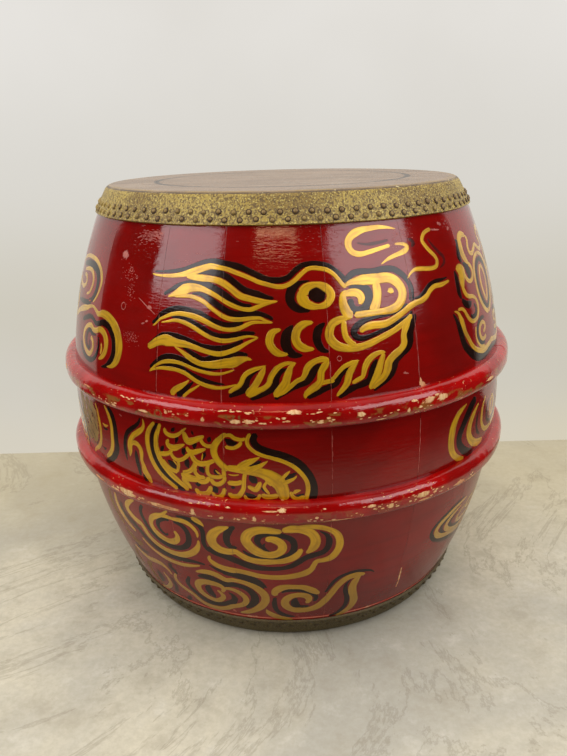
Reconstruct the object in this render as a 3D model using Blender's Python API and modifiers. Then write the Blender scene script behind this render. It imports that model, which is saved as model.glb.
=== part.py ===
"""Barrel drum: eighteen staves, two half-round hoops and two tacked hide heads.

Units are metres, +Z is up, and the origin is the middle of the lower head's resting face.
An azimuth of 0 degrees faces -Y, and azimuths grow towards +X.
"""
import math

import bmesh
import bpy
from mathutils import Matrix

# Body
HEIGHT = 0.430
HEAD_RADIUS = 0.1782
SHOULDER_FLARE = 0.0128
BELLY_BULGE = 0.0409
WALL = 0.018
RIM_ROUNDING = 0.003

# Staves, as the widths in degrees of one round, starting at the first seam
STAVE_WIDTHS = (21.0, 15.7, 22.8, 20.8, 20.0, 18.6, 21.4, 19.2, 20.5,
                17.8, 22.0, 19.6, 20.9, 18.3, 21.2, 19.9, 20.4, 19.9)
FIRST_SEAM = -50.5

# Heads
SKIN_THICKNESS = 0.0022
SKIN_DEPTH = 0.0258

# Tacks, in two staggered rows up from the hide's edge, measured along its sloping side
TACK_DIAMETER = 0.0054
TACK_CROWN = 0.0034
TACK_RISE = 0.0014
TACK_SINK = 0.0004
TACK_SPACING = 0.0129
TACK_FIRST_ROW = 0.0041
TACK_ROW_PITCH = 0.0066

# Hoops
HOOP_PITCH = 0.0874
HOOP_HEIGHT = 0.024
HOOP_PROUD = 0.010
HOOP_EDGE = 0.0018
SCARF_LENGTH = 0.045
UPPER_SCARF_AZIMUTH = 64.0
LOWER_SCARF_AZIMUTH = -152.0

# Clearances
FIT_GAP = 0.0003
SCARF_GAP = 0.0005

# Smoothness
RING_STEPS = 72
STAVE_STEPS = 4
OUTER_BOW_STEPS = 12
INNER_BOW_STEPS = 6
RIM_STEPS = 3
HOOP_STEPS = 8
TACK_SIDES = 5
MERGE_DISTANCE = 0.00001

# Colours as red, green and blue in display values
LACQUER_RED = (0.55, 0.035, 0.035)
HOOP_RED = (0.68, 0.04, 0.03)
HIDE_BROWN = (0.42, 0.30, 0.17)

# Heights here are measured from mid-height, so the two ends of the drum share one half outline.
half_height = HEIGHT / 2
wood_end = half_height - SKIN_THICKNESS - FIT_GAP
shoulder_height = half_height - SKIN_DEPTH
rim_radius = HEAD_RADIUS - SKIN_THICKNESS - FIT_GAP
shoulder_radius = rim_radius + SHOULDER_FLARE
belly_radius = shoulder_radius + BELLY_BULGE

# Along its length a stave is one arc, from shoulder to shoulder through the belly.
bow_radius = (shoulder_height ** 2 + BELLY_BULGE ** 2) / (2 * BELLY_BULGE)
bow_angle = math.asin(shoulder_height / bow_radius)
rim_taper = math.atan2(SHOULDER_FLARE, wood_end - shoulder_height)


def bow_point(angle, offset):
    """Radius and height of the point at an angle along the bow, offset outwards from the wood."""
    reach = bow_radius + offset
    return (belly_radius - bow_radius + reach * math.cos(angle), reach * math.sin(angle))


def rim_curve(offset):
    """Points over the rounded rim and down to the shoulder, offset outwards from the wood."""
    centre_radius = rim_radius - RIM_ROUNDING * (1 - math.sin(rim_taper)) / math.cos(rim_taper)
    centre_height = wood_end - RIM_ROUNDING
    reach = RIM_ROUNDING + offset
    points = []
    for step in range(RIM_STEPS + 1):
        turn = math.pi / 2 + (rim_taper - math.pi / 2) * step / RIM_STEPS
        points.append((centre_radius + reach * math.cos(turn), centre_height + reach * math.sin(turn)))
    points.append((shoulder_radius + offset * math.cos(rim_taper),
                   shoulder_height + offset * math.sin(rim_taper)))
    return points


def clear_of_facets(point):
    """Widen a bore's point so that the flats of the faceted ring clear the round body inside it."""
    radius, height = point
    return (radius / math.cos(math.pi / RING_STEPS), height)


def mirrored(points):
    """The same points at the other end of the drum, in reverse order."""
    return [(radius, -height) for radius, height in reversed(points)]


def stave_outline():
    """Closed outline of a stave's long section: down the outside and back up the inside."""
    upper_rim = rim_curve(0)
    outside = []
    for step in range(1, OUTER_BOW_STEPS):
        outside.append(bow_point(bow_angle * (1 - 2 * step / OUTER_BOW_STEPS), 0))
    inside = [(rim_radius - WALL, -wood_end)]
    for step in range(INNER_BOW_STEPS + 1):
        inside.append(bow_point(bow_angle * (2 * step / INNER_BOW_STEPS - 1), -WALL))
    inside.append((rim_radius - WALL, wood_end))
    return upper_rim + outside + mirrored(upper_rim) + inside


def hoop_outline():
    """Closed half-round section of the upper hoop, about its own middle height."""
    middle_height = HOOP_PITCH / 2
    middle_angle = math.asin(middle_height / bow_radius)
    half_angle = HOOP_HEIGHT / 2 / bow_radius
    outline = []
    for step in range(HOOP_STEPS + 1):
        turn = math.pi / 2 - math.pi * step / HOOP_STEPS
        swell = HOOP_EDGE + (HOOP_PROUD - HOOP_EDGE) * math.cos(turn)
        outline.append(bow_point(middle_angle + half_angle * math.sin(turn), FIT_GAP + swell))
    for turn in (-1, 0, 1):
        outline.append(clear_of_facets(bow_point(middle_angle + half_angle * turn, FIT_GAP)))
    return [(radius, height - middle_height) for radius, height in outline]


def head_outline():
    """Section of a head, from the axis over the rim to its lower edge and back underneath.

    The playing face is at height 0.
    """
    over = [(0, half_height)] + rim_curve(FIT_GAP + SKIN_THICKNESS)
    under = [clear_of_facets(point) for point in reversed(rim_curve(FIT_GAP))]
    under.append((0, wood_end + FIT_GAP))
    return [(radius, height - half_height) for radius, height in over + under]


def tack_places():
    """Where each tack of a head stands: a matrix on the hide, with its Z axis pointing out of it."""
    edge_radius, edge_height = rim_curve(FIT_GAP + SKIN_THICKNESS)[-1]
    count = round(2 * math.pi * edge_radius / TACK_SPACING)
    face_out = Matrix.Rotation(math.pi / 2 - rim_taper, 4, "Y")
    places = []
    for row in range(2):
        climb = TACK_FIRST_ROW + row * TACK_ROW_PITCH
        reach = Matrix.Translation((edge_radius - climb * math.sin(rim_taper), 0,
                                    edge_height + climb * math.cos(rim_taper) - half_height))
        for index in range(count):
            azimuth = 2 * math.pi * (index + row / 2) / count
            places.append(Matrix.Rotation(azimuth, 4, "Z") @ reach @ face_out)
    return places


def lacquer(name, colour, roughness, coat=0.0):
    """A Principled material whose colour is given in display values."""
    material = bpy.data.materials.new(name)
    material.use_nodes = True
    shader = material.node_tree.nodes["Principled BSDF"]
    linear = [((value + 0.055) / 1.055) ** 2.4 if value > 0.04045 else value / 12.92 for value in colour]
    shader.inputs["Base Color"].default_value = (*linear, 1)
    shader.inputs["Roughness"].default_value = roughness
    shader.inputs["Metallic"].default_value = 0.0
    shader.inputs["Coat Weight"].default_value = coat
    return material


def add_object(name, mesh, collection, material):
    """Put a mesh in the scene as a named object with one material."""
    part = bpy.data.objects.new(name, mesh)
    mesh.materials.append(material)
    collection.objects.link(part)
    return part


def spun_sector(name, outline, sweep):
    """A solid made by spinning a filled outline through an angle that is centred on azimuth 0."""
    mesh = bpy.data.meshes.new(name)
    shape = bmesh.new()
    start = -math.pi / 2 - sweep / 2
    corners = [shape.verts.new((radius * math.cos(start), radius * math.sin(start), height))
               for radius, height in outline]
    section = shape.faces.new(corners)
    bmesh.ops.spin(shape, geom=[*shape.verts, *shape.edges, section], cent=(0, 0, 0),
                   axis=(0, 0, 1), angle=sweep, steps=STAVE_STEPS)
    bmesh.ops.remove_doubles(shape, verts=shape.verts, dist=MERGE_DISTANCE)
    bmesh.ops.recalc_face_normals(shape, faces=shape.faces)
    shape.to_mesh(mesh)
    shape.free()
    mesh.shade_smooth()
    mesh.set_sharp_from_angle(angle=math.radians(35))
    return mesh


def turned_mesh(name, outline, closed):
    """A profile of edges at +X, ready for a Screw modifier."""
    corners = [(radius, 0, height) for radius, height in outline]
    edges = [(index, index + 1) for index in range(len(corners) - 1)]
    if closed:
        edges.append((len(corners) - 1, 0))
    mesh = bpy.data.meshes.new(name)
    mesh.from_pydata(corners, edges, [])
    return mesh


def turn_round(part):
    """Turn a profile through a full round about Z."""
    screw = part.modifiers.new("turn", "SCREW")
    screw.angle = 2 * math.pi
    screw.steps = RING_STEPS
    screw.render_steps = RING_STEPS
    screw.use_merge_vertices = True
    screw.merge_threshold = MERGE_DISTANCE
    screw.use_smooth_shade = True


def cut_scarf(hoop, azimuth, height, cutters):
    """Part a hoop along a slanting plane, where the two ends of its bent strip meet."""
    slant = math.atan2(HOOP_HEIGHT, SCARF_LENGTH)
    bpy.ops.mesh.primitive_cube_add(size=1)
    blade = bpy.context.active_object
    blade.name = hoop.name + "_scarf"
    for owner in list(blade.users_collection):
        owner.objects.unlink(blade)
    cutters.objects.link(blade)
    blade.dimensions = (2 * SCARF_LENGTH, 4 * HOOP_PROUD, SCARF_GAP)
    turn = math.radians(azimuth)
    blade.location = (belly_radius * math.sin(turn), -belly_radius * math.cos(turn), height)
    blade.rotation_euler = (0, slant, turn)
    blade.hide_render = True
    blade.display_type = "WIRE"
    cut = hoop.modifiers.new("scarf", "BOOLEAN")
    cut.operation = "DIFFERENCE"
    cut.solver = "EXACT"
    cut.object = blade


def tack_mesh():
    """The tack heads of one head: flat-topped studs that start a little inside the hide."""
    middle = Matrix.Translation((0, 0, (TACK_RISE - TACK_SINK) / 2))
    splay = (TACK_DIAMETER - TACK_CROWN) / 2 / TACK_RISE
    shape = bmesh.new()
    for place in tack_places():
        bmesh.ops.create_cone(shape, cap_ends=True, segments=TACK_SIDES, depth=TACK_RISE + TACK_SINK,
                              radius1=TACK_DIAMETER / 2 + splay * TACK_SINK, radius2=TACK_CROWN / 2,
                              matrix=place @ middle)
    mesh = bpy.data.meshes.new("tacks")
    shape.to_mesh(mesh)
    shape.free()
    return mesh


def drive_tacks(head, mesh, cutters):
    """Join the tack heads to a hide, which they stand on."""
    tacks = bpy.data.objects.new(head.name + "_tacks", mesh)
    tacks.location = head.location
    tacks.rotation_euler = head.rotation_euler
    tacks.hide_render = True
    tacks.display_type = "WIRE"
    cutters.objects.link(tacks)
    join = head.modifiers.new("tacks", "BOOLEAN")
    join.operation = "UNION"
    join.solver = "EXACT"
    join.object = tacks


def build_staves(collection):
    """Every stave stands beside the next, with its long edges planed to the drum's axis."""
    material = lacquer("red_lacquer", LACQUER_RED, 0.3, coat=0.4)
    outline = stave_outline()
    joint_angle = FIT_GAP / (rim_radius - WALL)
    degree = 2 * math.pi / sum(STAVE_WIDTHS)
    seam = math.radians(FIRST_SEAM)
    for index, width in enumerate(STAVE_WIDTHS):
        name = f"stave_{index + 1:02d}"
        sweep = width * degree
        mesh = spun_sector(name, outline, sweep - joint_angle)
        stave = add_object(name, mesh, collection, material)
        stave.location.z = half_height
        stave.rotation_euler.z = seam + sweep / 2
        seam += sweep


def build_hoops(collection, cutters):
    """The lower hoop is the upper one turned over."""
    material = lacquer("hoop_red_lacquer", HOOP_RED, 0.25, coat=0.6)
    outline = hoop_outline()
    for name, side, azimuth in (("upper_hoop", 1, UPPER_SCARF_AZIMUTH),
                                ("lower_hoop", -1, LOWER_SCARF_AZIMUTH)):
        hoop = add_object(name, turned_mesh(name, outline, closed=True), collection, material)
        hoop.location.z = half_height + side * HOOP_PITCH / 2
        if side < 0:
            hoop.rotation_euler.x = math.pi
        turn_round(hoop)
        cut_scarf(hoop, azimuth, hoop.location.z, cutters)


def build_heads(collection, cutters):
    """The lower head is the upper one turned over."""
    material = lacquer("hide", HIDE_BROWN, 0.6)
    outline = head_outline()
    tacks = tack_mesh()
    for name, height, tilt in (("top_head", HEIGHT, 0), ("bottom_head", 0, math.pi)):
        head = add_object(name, turned_mesh(name, outline, closed=False), collection, material)
        head.location.z = height
        head.rotation_euler.x = tilt
        turn_round(head)
        drive_tacks(head, tacks, cutters)


def main():
    for leftover in list(bpy.data.objects):
        bpy.data.objects.remove(leftover, do_unlink=True)
    drum = bpy.data.collections.new("barrel_drum")
    cutters = bpy.data.collections.new("cutters")
    bpy.context.scene.collection.children.link(drum)
    bpy.context.scene.collection.children.link(cutters)
    build_staves(drum)
    build_hoops(drum, cutters)
    build_heads(drum, cutters)
    bpy.context.view_layer.update()


main()
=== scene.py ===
"""Looks of the barrel drum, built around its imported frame.

Lengths are metres unless a name says millimetres. An azimuth of 0 degrees faces -Y, towards the
camera, and azimuths grow towards +X. Heights are above the floor.
"""
import math
import random

import bpy
import numpy as np
from mathutils import Matrix, Vector, noise


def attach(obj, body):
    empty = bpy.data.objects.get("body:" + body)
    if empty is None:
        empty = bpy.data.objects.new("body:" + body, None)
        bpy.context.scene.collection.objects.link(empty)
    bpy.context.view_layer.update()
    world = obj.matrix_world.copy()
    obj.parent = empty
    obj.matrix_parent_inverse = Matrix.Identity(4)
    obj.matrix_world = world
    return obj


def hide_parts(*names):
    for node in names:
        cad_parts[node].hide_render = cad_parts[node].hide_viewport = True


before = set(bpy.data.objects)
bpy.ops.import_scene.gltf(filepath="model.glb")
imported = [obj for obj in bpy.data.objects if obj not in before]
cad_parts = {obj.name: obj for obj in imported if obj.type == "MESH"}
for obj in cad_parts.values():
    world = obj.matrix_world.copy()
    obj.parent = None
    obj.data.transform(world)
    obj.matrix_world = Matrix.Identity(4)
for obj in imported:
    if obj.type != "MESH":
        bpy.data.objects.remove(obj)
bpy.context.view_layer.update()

# Body, as in the part's source
HEIGHT = 0.430
HEAD_RADIUS = 0.1782
SHOULDER_FLARE = 0.0128
BELLY_BULGE = 0.0409
WALL = 0.018
RIM_ROUNDING = 0.003
STAVE_WIDTHS = (21.0, 15.7, 22.8, 20.8, 20.0, 18.6, 21.4, 19.2, 20.5,
                17.8, 22.0, 19.6, 20.9, 18.3, 21.2, 19.9, 20.4, 19.9)
FIRST_SEAM = -50.5
SKIN_THICKNESS = 0.0022
SKIN_DEPTH = 0.0258
HOOP_PITCH = 0.0874
HOOP_HEIGHT = 0.024
HOOP_PROUD = 0.010
HOOP_EDGE = 0.0018
SCARF_LENGTH = 0.045
UPPER_SCARF_AZIMUTH = 64.0
LOWER_SCARF_AZIMUTH = -152.0
FIT_GAP = 0.0003

# Wear inside the part's own outline, for the looks alone: how much more the rims are rounded under
# the hide, the share of height left at a hoop's top, and how square its lower half is
RIM_WEAR = 0.0036
HOOP_TOP_WEAR = 0.8
HOOP_FULLNESS = 0.7

# Other sizes for the looks alone: the gap between a hoop's ends, how far its back reaches into the
# wood, the radius of its half-round, how deep tacks and paint are rooted, how far below the shoulder
# the painted highlight on the lacquer's lip lies, and where the hide's dark ring is, as a share of the
# head's radius
HOOP_END_GAP = 0.0004
HOOP_BACK_DEPTH = 0.001
HOOP_ROUND = 0.0105
TACK_ROOT = 0.0004
PAINT_ROOT_MM = 0.1
LIP_DEPTH = 0.0027
RING_SHARE = 0.720

# Tacks
TACK_COUNT = 93
TACK_RADIUS = 0.0028
TACK_RISE = 0.0014
TACK_FIRST_ROW = 0.0041
TACK_ROW_PITCH = 0.0066
TACK_PHASE = 3.2
TACK_LEVELS = ((1.0, 0.04), (0.97, 0.20), (0.82, 0.26), (0.74, 0.22), (0.66, 0.42), (0.5, 0.74), (0.27, 0.95))

# Paint: the azimuth of the flaming pearl, where the ornament is mirrored, about how many millimetres
# a degree is on the wood, and the pace of the brushing in the lacquer along each axis
PEARL_AZIMUTH = 62.0
DEGREE_MM = 3.9
BRUSHING = (90, 90, 560)

# Stave faces
STAVE_FLATNESS = 0.1
SEAM_ROUNDING = 0.00012
SEAM_GAP = 0.00005
SEAM_REACH = 0.005

# Camera, fitted to the photograph, and how far away the windows of light are
PICTURE_LONG_SIDE = 756
FOCAL_PIXELS = 690.51
SENSOR = 36.0
CAMERA_DISTANCE = 0.74457
CAMERA_HEIGHT = 0.47273
CAMERA_PITCH = 0.33997
CAMERA_YAW = -0.005227
CAMERA_ROLL = -0.027091
WINDOW_DISTANCE = 2.0

MM = 0.001
middle = HEIGHT / 2
wood_end = middle - SKIN_THICKNESS - FIT_GAP
shoulder_height = middle - SKIN_DEPTH
rim_radius = HEAD_RADIUS - SKIN_THICKNESS - FIT_GAP
shoulder_radius = rim_radius + SHOULDER_FLARE
belly_radius = shoulder_radius + BELLY_BULGE
bow_radius = (shoulder_height ** 2 + BELLY_BULGE ** 2) / (2 * BELLY_BULGE)
bow_angle = math.asin(shoulder_height / bow_radius)
rim_taper = math.atan2(SHOULDER_FLARE, wood_end - shoulder_height)
degree_sum = sum(STAVE_WIDTHS)
seams = FIRST_SEAM + np.concatenate([[0], np.cumsum(STAVE_WIDTHS)]) * 360 / degree_sum
hoop_angle = math.asin(HOOP_PITCH / 2 / bow_radius)
hoop_half_angle = HOOP_HEIGHT / 2 / bow_radius


# Shapes shared by the wood and what is painted on it

def display(*rgb):
    """A colour written in display values from 0 to 255, as a linear colour."""
    parts = [value / 255 for value in rgb]
    return (*[((v + 0.055) / 1.055) ** 2.4 if v > 0.04045 else v / 12.92 for v in parts], 1.0)


def displays(*colours):
    return [display(*colour) for colour in colours]


def bow_point(angle, offset):
    """Radius and height above the middle of the point at an angle along the bow."""
    reach = bow_radius + offset
    return (belly_radius - bow_radius + reach * math.cos(angle), reach * math.sin(angle))


def rim_curve(offset, steps):
    """Points over the rounded rim and down to the shoulder, offset outwards from the wood."""
    rounding = RIM_ROUNDING + RIM_WEAR
    centre_radius = rim_radius - rounding * (1 - math.sin(rim_taper)) / math.cos(rim_taper)
    centre_height = wood_end - rounding
    reach = rounding + offset
    points = []
    for step in range(steps + 1):
        turn = math.pi / 2 + (rim_taper - math.pi / 2) * step / steps
        points.append((centre_radius + reach * math.cos(turn), centre_height + reach * math.sin(turn)))
    end = (shoulder_radius + offset * math.cos(rim_taper), shoulder_height + offset * math.sin(rim_taper))
    start = points[-1]
    for step in range(1, steps + 1):
        part = step / steps
        points.append((start[0] + (end[0] - start[0]) * part, start[1] + (end[1] - start[1]) * part))
    return points


def stave_of(azimuth):
    """Index of each azimuth's stave, and the way across it from -1 to 1."""
    turned = (np.asarray(azimuth, float) - FIRST_SEAM) % 360 + FIRST_SEAM
    index = np.clip(np.searchsorted(seams, turned, side="right") - 1, 0, len(STAVE_WIDTHS) - 1)
    centre = (seams[index] + seams[index + 1]) / 2
    half = (seams[index + 1] - seams[index]) / 2
    return index, (turned - centre) / half


def smoothstep(low, high, value):
    part = np.clip((np.asarray(value, float) - low) / (high - low), 0, 1)
    return part * part * (3 - 2 * part)


stave_sagittas = belly_radius * (1 - np.cos(np.radians(np.diff(seams)) / 2))


def relief(azimuth, height):
    """How far the stave faces stand in from the turned body: each is a little flat between its seams."""
    index, across = stave_of(azimuth)
    lift = np.abs(np.asarray(height, float) - middle)
    fade = 1 - smoothstep(shoulder_height - 0.02, shoulder_height - 0.001, lift)
    return -fade * STAVE_FLATNESS * stave_sagittas[index] * (1 - across ** 2)


def wood_radius(height):
    lift = np.abs(np.asarray(height, float) - middle)
    bow = belly_radius - bow_radius + np.sqrt(bow_radius ** 2 - np.minimum(lift, shoulder_height) ** 2)
    return bow - np.maximum(lift - shoulder_height, 0) * math.tan(rim_taper)


def on_wood(azimuth, height, lift):
    """Points at an azimuth in degrees and a height, lifted off the stave faces."""
    slope = (np.asarray(height, float) - middle) / bow_radius
    radius = wood_radius(height) + relief(azimuth, height) + lift * np.sqrt(1 - slope ** 2)
    turn = np.radians(azimuth)
    return np.stack([radius * np.sin(turn), -radius * np.cos(turn), height + lift * slope], -1)


def seam_side(azimuth):
    """Distance from the nearest seam in metres, cut off, with a sign that changes at every seam."""
    index, across = stave_of(azimuth)
    half = np.radians((seams[index + 1] - seams[index]) / 2) * belly_radius
    return np.where(index % 2 == 0, 1.0, -1.0) * np.minimum((1 - np.abs(across)) * half, SEAM_REACH)


def add_piece(name, points, faces, material, smooth_angle=40, values=None):
    """A mesh object with one material, riding on the drum, with named numbers on its points."""
    mesh = bpy.data.meshes.new(name)
    mesh.from_pydata([tuple(point) for point in points], [], faces)
    for label, numbers in (values or {}).items():
        attribute = mesh.attributes.new(label, "FLOAT", "POINT")
        attribute.data.foreach_set("value", np.asarray(numbers, np.float32))
    mesh.materials.append(material)
    mesh.shade_smooth()
    mesh.set_sharp_from_angle(angle=math.radians(smooth_angle))
    piece = bpy.data.objects.new(name, mesh)
    bpy.context.scene.collection.objects.link(piece)
    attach(piece, "root")
    return piece


def ring_faces(rows, columns, start=0):
    """Quads between rows of points, each row a closed ring, numbered from start."""
    faces = []
    for row in range(rows - 1):
        first = start + row * columns
        for column in range(columns):
            beside = (column + 1) % columns
            faces.append((first + column, first + beside, first + columns + beside, first + columns + column))
    return faces


def capped_faces(rows, columns, start=0):
    """The same quads, with a face over each end ring."""
    first_ring = range(start, start + columns)
    last_ring = range(start + (rows - 1) * columns, start + rows * columns)
    return ring_faces(rows, columns, start) + [tuple(first_ring), tuple(reversed(last_ring))]


def fan_faces(tip, start, around, other_way=False):
    """Triangles from a tip to the closed ring of points that begins at start."""
    pairs = [(start + step, start + (step + 1) % around) for step in range(around)]
    return [(tip, second, first) if other_way else (tip, first, second) for first, second in pairs]


def turned_over(faces):
    return [tuple(reversed(face)) for face in faces]


# Materials

def new_material(name):
    material = bpy.data.materials.new(name)
    material.use_nodes = True
    return material, material.node_tree, material.node_tree.nodes["Principled BSDF"]


def plug(tree, target, inputs):
    """Set a node's inputs to plain values or to other nodes' outputs."""
    for key, value in inputs.items():
        if isinstance(value, bpy.types.NodeSocket):
            tree.links.new(value, target.inputs[key])
        else:
            target.inputs[key].default_value = value


def node(tree, kind, inputs=None, **settings):
    """A shader node with its settings, and its inputs as plug takes them."""
    made = tree.nodes.new(kind)
    for label, value in settings.items():
        setattr(made, label, value)
    plug(tree, made, inputs or {})
    return made


def own_place(tree):
    """The object's own coordinates."""
    return node(tree, "ShaderNodeTexCoord").outputs["Object"]


def place(tree, stretch=(1, 1, 1)):
    """The object's own coordinates, stretched."""
    return node(tree, "ShaderNodeMapping", {"Vector": own_place(tree), "Scale": stretch}).outputs["Vector"]


def grain(tree, scale, stretch=(1, 1, 1), detail=3.0, roughness=0.55, distortion=0.0):
    """Noise from 0 to 1 in the object's own coordinates."""
    inputs = {"Vector": place(tree, stretch), "Scale": scale, "Detail": detail,
              "Roughness": roughness, "Distortion": distortion}
    return node(tree, "ShaderNodeTexNoise", inputs).outputs["Fac"]


def math_node(tree, operation, first, second=0.0):
    return node(tree, "ShaderNodeMath", {0: first, 1: second}, operation=operation).outputs[0]


def product(tree, first, second):
    return math_node(tree, "MULTIPLY", first, second)


def apart(tree, value, mark):
    """How far a value is from a mark, either way."""
    return math_node(tree, "ABSOLUTE", math_node(tree, "SUBTRACT", value, mark))


def between(tree, value, low, high, start=0.0, end=1.0):
    """A value mapped from one range to another, smoothly and cut off at both ends."""
    inputs = {"Value": value, "From Min": low, "From Max": high, "To Min": start, "To Max": end}
    return node(tree, "ShaderNodeMapRange", inputs, interpolation_type="SMOOTHSTEP").outputs["Result"]


def blend(tree, factor, first, second):
    """A mix of two colours."""
    inputs = {"Factor": factor, 6: first, 7: second}
    return node(tree, "ShaderNodeMix", inputs, data_type="RGBA").outputs[2]


def number(tree, label):
    """A number kept on the points of the mesh."""
    return node(tree, "ShaderNodeAttribute", attribute_name=label).outputs["Fac"]


def bump(tree, shader, *layers):
    """Stack bumps of (height, depth in metres) on a shader's normal."""
    normal = None
    for height, depth in layers:
        inputs = {"Height": height, "Strength": 1.0, "Distance": depth}
        if normal is not None:
            inputs["Normal"] = normal
        normal = node(tree, "ShaderNodeBump", inputs).outputs["Normal"]
    tree.links.new(normal, shader.inputs["Normal"])


def height_of(tree):
    return node(tree, "ShaderNodeSeparateXYZ", {0: own_place(tree)}).outputs["Z"]


def lacquer_seams(tree, colour):
    """The colour with its seams chipped and their grooves filled in, and where it is chipped."""
    seam = math_node(tree, "ABSOLUTE", number(tree, "seam"))
    ragged = grain(tree, 1.0, (420, 420, 90), 3)
    reach = product(tree, between(tree, grain(tree, 1.0, (16, 16, 22), 2), 0.56, 0.68), 0.0004)
    edge = product(tree, reach, between(tree, ragged, 0.30, 0.70, 0.2, 1.3))
    chipped = math_node(tree, "LESS_THAN", seam, edge)
    colour = blend(tree, chipped, colour, display(176, 74, 60))
    groove = between(tree, seam, 0.0001, 0.0004, 0.8, 0.0)
    groove = product(tree, groove, math_node(tree, "SUBTRACT", 1.0, chipped))
    primed = between(tree, grain(tree, 1.0, (12, 12, 30), 3), 0.42, 0.58)
    filling = blend(tree, primed, display(48, 6, 5), display(140, 44, 36))
    return blend(tree, groove, colour, filling), chipped


def lacquer_lip_highlight(tree, colour, lift, height):
    """The colour with a painted highlight on the lip just above the lower hide, a brighter red band and a
    pale line, with bare wood worn through in specks.
    """
    from_lip = apart(tree, lift, shoulder_height - LIP_DEPTH)
    lower = math_node(tree, "LESS_THAN", height, middle)
    # Painted highlight: a brighter red band along the lip, where its rounding catches the light
    highlit_band = product(tree, lower, between(tree, from_lip, 0.0014, 0.0022, 0.8, 0.0))
    colour = blend(tree, highlit_band, colour, display(188, 30, 20))
    # Painted highlight: a pale, broken line along the lip
    line = product(tree, lower, between(tree, from_lip, 0.0005, 0.0011, 0.9, 0.0))
    line = product(tree, line, between(tree, grain(tree, 30.0, detail=4), 0.38, 0.56, 0.3, 1.0))
    colour = blend(tree, line, colour, display(230, 142, 118))
    # Bare wood worn through the band in specks
    bare = product(tree, highlit_band, between(tree, grain(tree, 90.0, detail=4), 0.60, 0.66))
    return blend(tree, bare, colour, display(240, 200, 156))


def lacquer_material():
    """Glossy red lacquer brushed round the body, rubbed near the hides and chipped along the seams, with
    a painted highlight on the lip above the lower hide.
    """
    material, tree, shader = new_material("red_lacquer")
    cloud = grain(tree, 14.0, detail=4)
    streak = grain(tree, 1.0, (10, 10, 120), 4)
    height = height_of(tree)
    lift = apart(tree, height, middle)
    specks = between(tree, grain(tree, 1.0, (300, 300, 700), 2), 0.60, 0.68)
    patches = between(tree, grain(tree, 16.0, (1, 1, 1.6), 2), 0.54, 0.62)
    rubbed = product(tree, product(tree, between(tree, lift, 0.150, 0.186), specks), patches)
    colour = blend(tree, between(tree, cloud, 0.35, 0.68), display(136, 9, 5), display(116, 9, 5))
    colour = blend(tree, between(tree, streak, 0.45, 0.75, 0.0, 0.35), colour, display(96, 11, 6))
    colour = blend(tree, product(tree, rubbed, 0.4), colour, display(176, 76, 56))
    colour, chipped = lacquer_seams(tree, colour)
    colour = lacquer_lip_highlight(tree, colour, lift, height)
    worn = math_node(tree, "MAXIMUM", chipped, rubbed)
    gloss = between(tree, grain(tree, 30.0, detail=4), 0.3, 0.75, 0.05, 0.11)
    plug(tree, shader, {"Base Color": colour, "IOR": 1.5, "Coat Weight": 0.2, "Coat Roughness": 0.04,
                        "Roughness": math_node(tree, "ADD", gloss, product(tree, worn, 0.4))})
    ripple = grain(tree, 1.0, BRUSHING, 3, distortion=0.4)
    bump(tree, shader, (ripple, 0.00014), (streak, 0.0001), (grain(tree, 40.0, detail=2), 0.0002),
         (worn, -0.0001))
    return material


def hoop_stains(tree, colour, turn):
    """The colour with brown smears and ringed marks low on the front, more of them on the upper hoop."""
    low = product(tree, between(tree, turn, -0.85, -0.5), between(tree, turn, 0.0, 0.25, 1.0, 0.0))
    low = product(tree, low, between(tree, height_of(tree), 0.20, 0.22, 0.35, 1.0))
    smears = between(tree, grain(tree, 70.0, (1, 1, 2.2), 5), 0.51, 0.60)
    smears = product(tree, smears, product(tree, low, 0.8))
    colour = blend(tree, smears, colour, display(150, 96, 44))
    cells = node(tree, "ShaderNodeTexVoronoi", {"Vector": place(tree), "Scale": 72.0}).outputs["Distance"]
    rings = between(tree, apart(tree, cells, 0.24), 0.03, 0.08, 0.8, 0.0)
    rings = product(tree, rings, between(tree, grain(tree, 34.0, detail=2), 0.50, 0.56))
    return blend(tree, product(tree, rings, low), colour, display(122, 84, 44))


def hoop_material():
    """Brighter, thicker lacquer on the hoops, stained and scuffed, with painted shade on the underside."""
    material, tree, shader = new_material("hoop_lacquer")
    turn = number(tree, "turn")
    cloud = grain(tree, 22.0, detail=4)
    colour = blend(tree, between(tree, cloud, 0.35, 0.7), display(172, 8, 6), display(140, 8, 5))
    colour = hoop_stains(tree, colour, turn)
    # Painted shade: the hoop turns dull and dark where it faces down
    colour = blend(tree, between(tree, turn, -1.3, -0.75, 0.8, 0.0), colour, display(84, 22, 18))
    specks = between(tree, grain(tree, 300.0, detail=2), 0.66, 0.70)
    wear = product(tree, specks, between(tree, grain(tree, 30.0, detail=3), 0.46, 0.62))
    colour = blend(tree, product(tree, wear, 0.85), colour, display(236, 170, 104))
    gloss = between(tree, grain(tree, 40.0, detail=4), 0.3, 0.75, 0.05, 0.12)
    plug(tree, shader, {"Base Color": colour, "IOR": 1.5,
                        "Coat Weight": 0.35, "Coat IOR": 1.55, "Coat Roughness": 0.04,
                        "Roughness": math_node(tree, "ADD", gloss, product(tree, wear, 0.4))})
    bump(tree, shader, (grain(tree, 60.0, detail=4), 0.0009), (grain(tree, 1.0, (80, 80, 420), 3), 0.0003),
         (wear, -0.0002))
    return material


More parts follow.
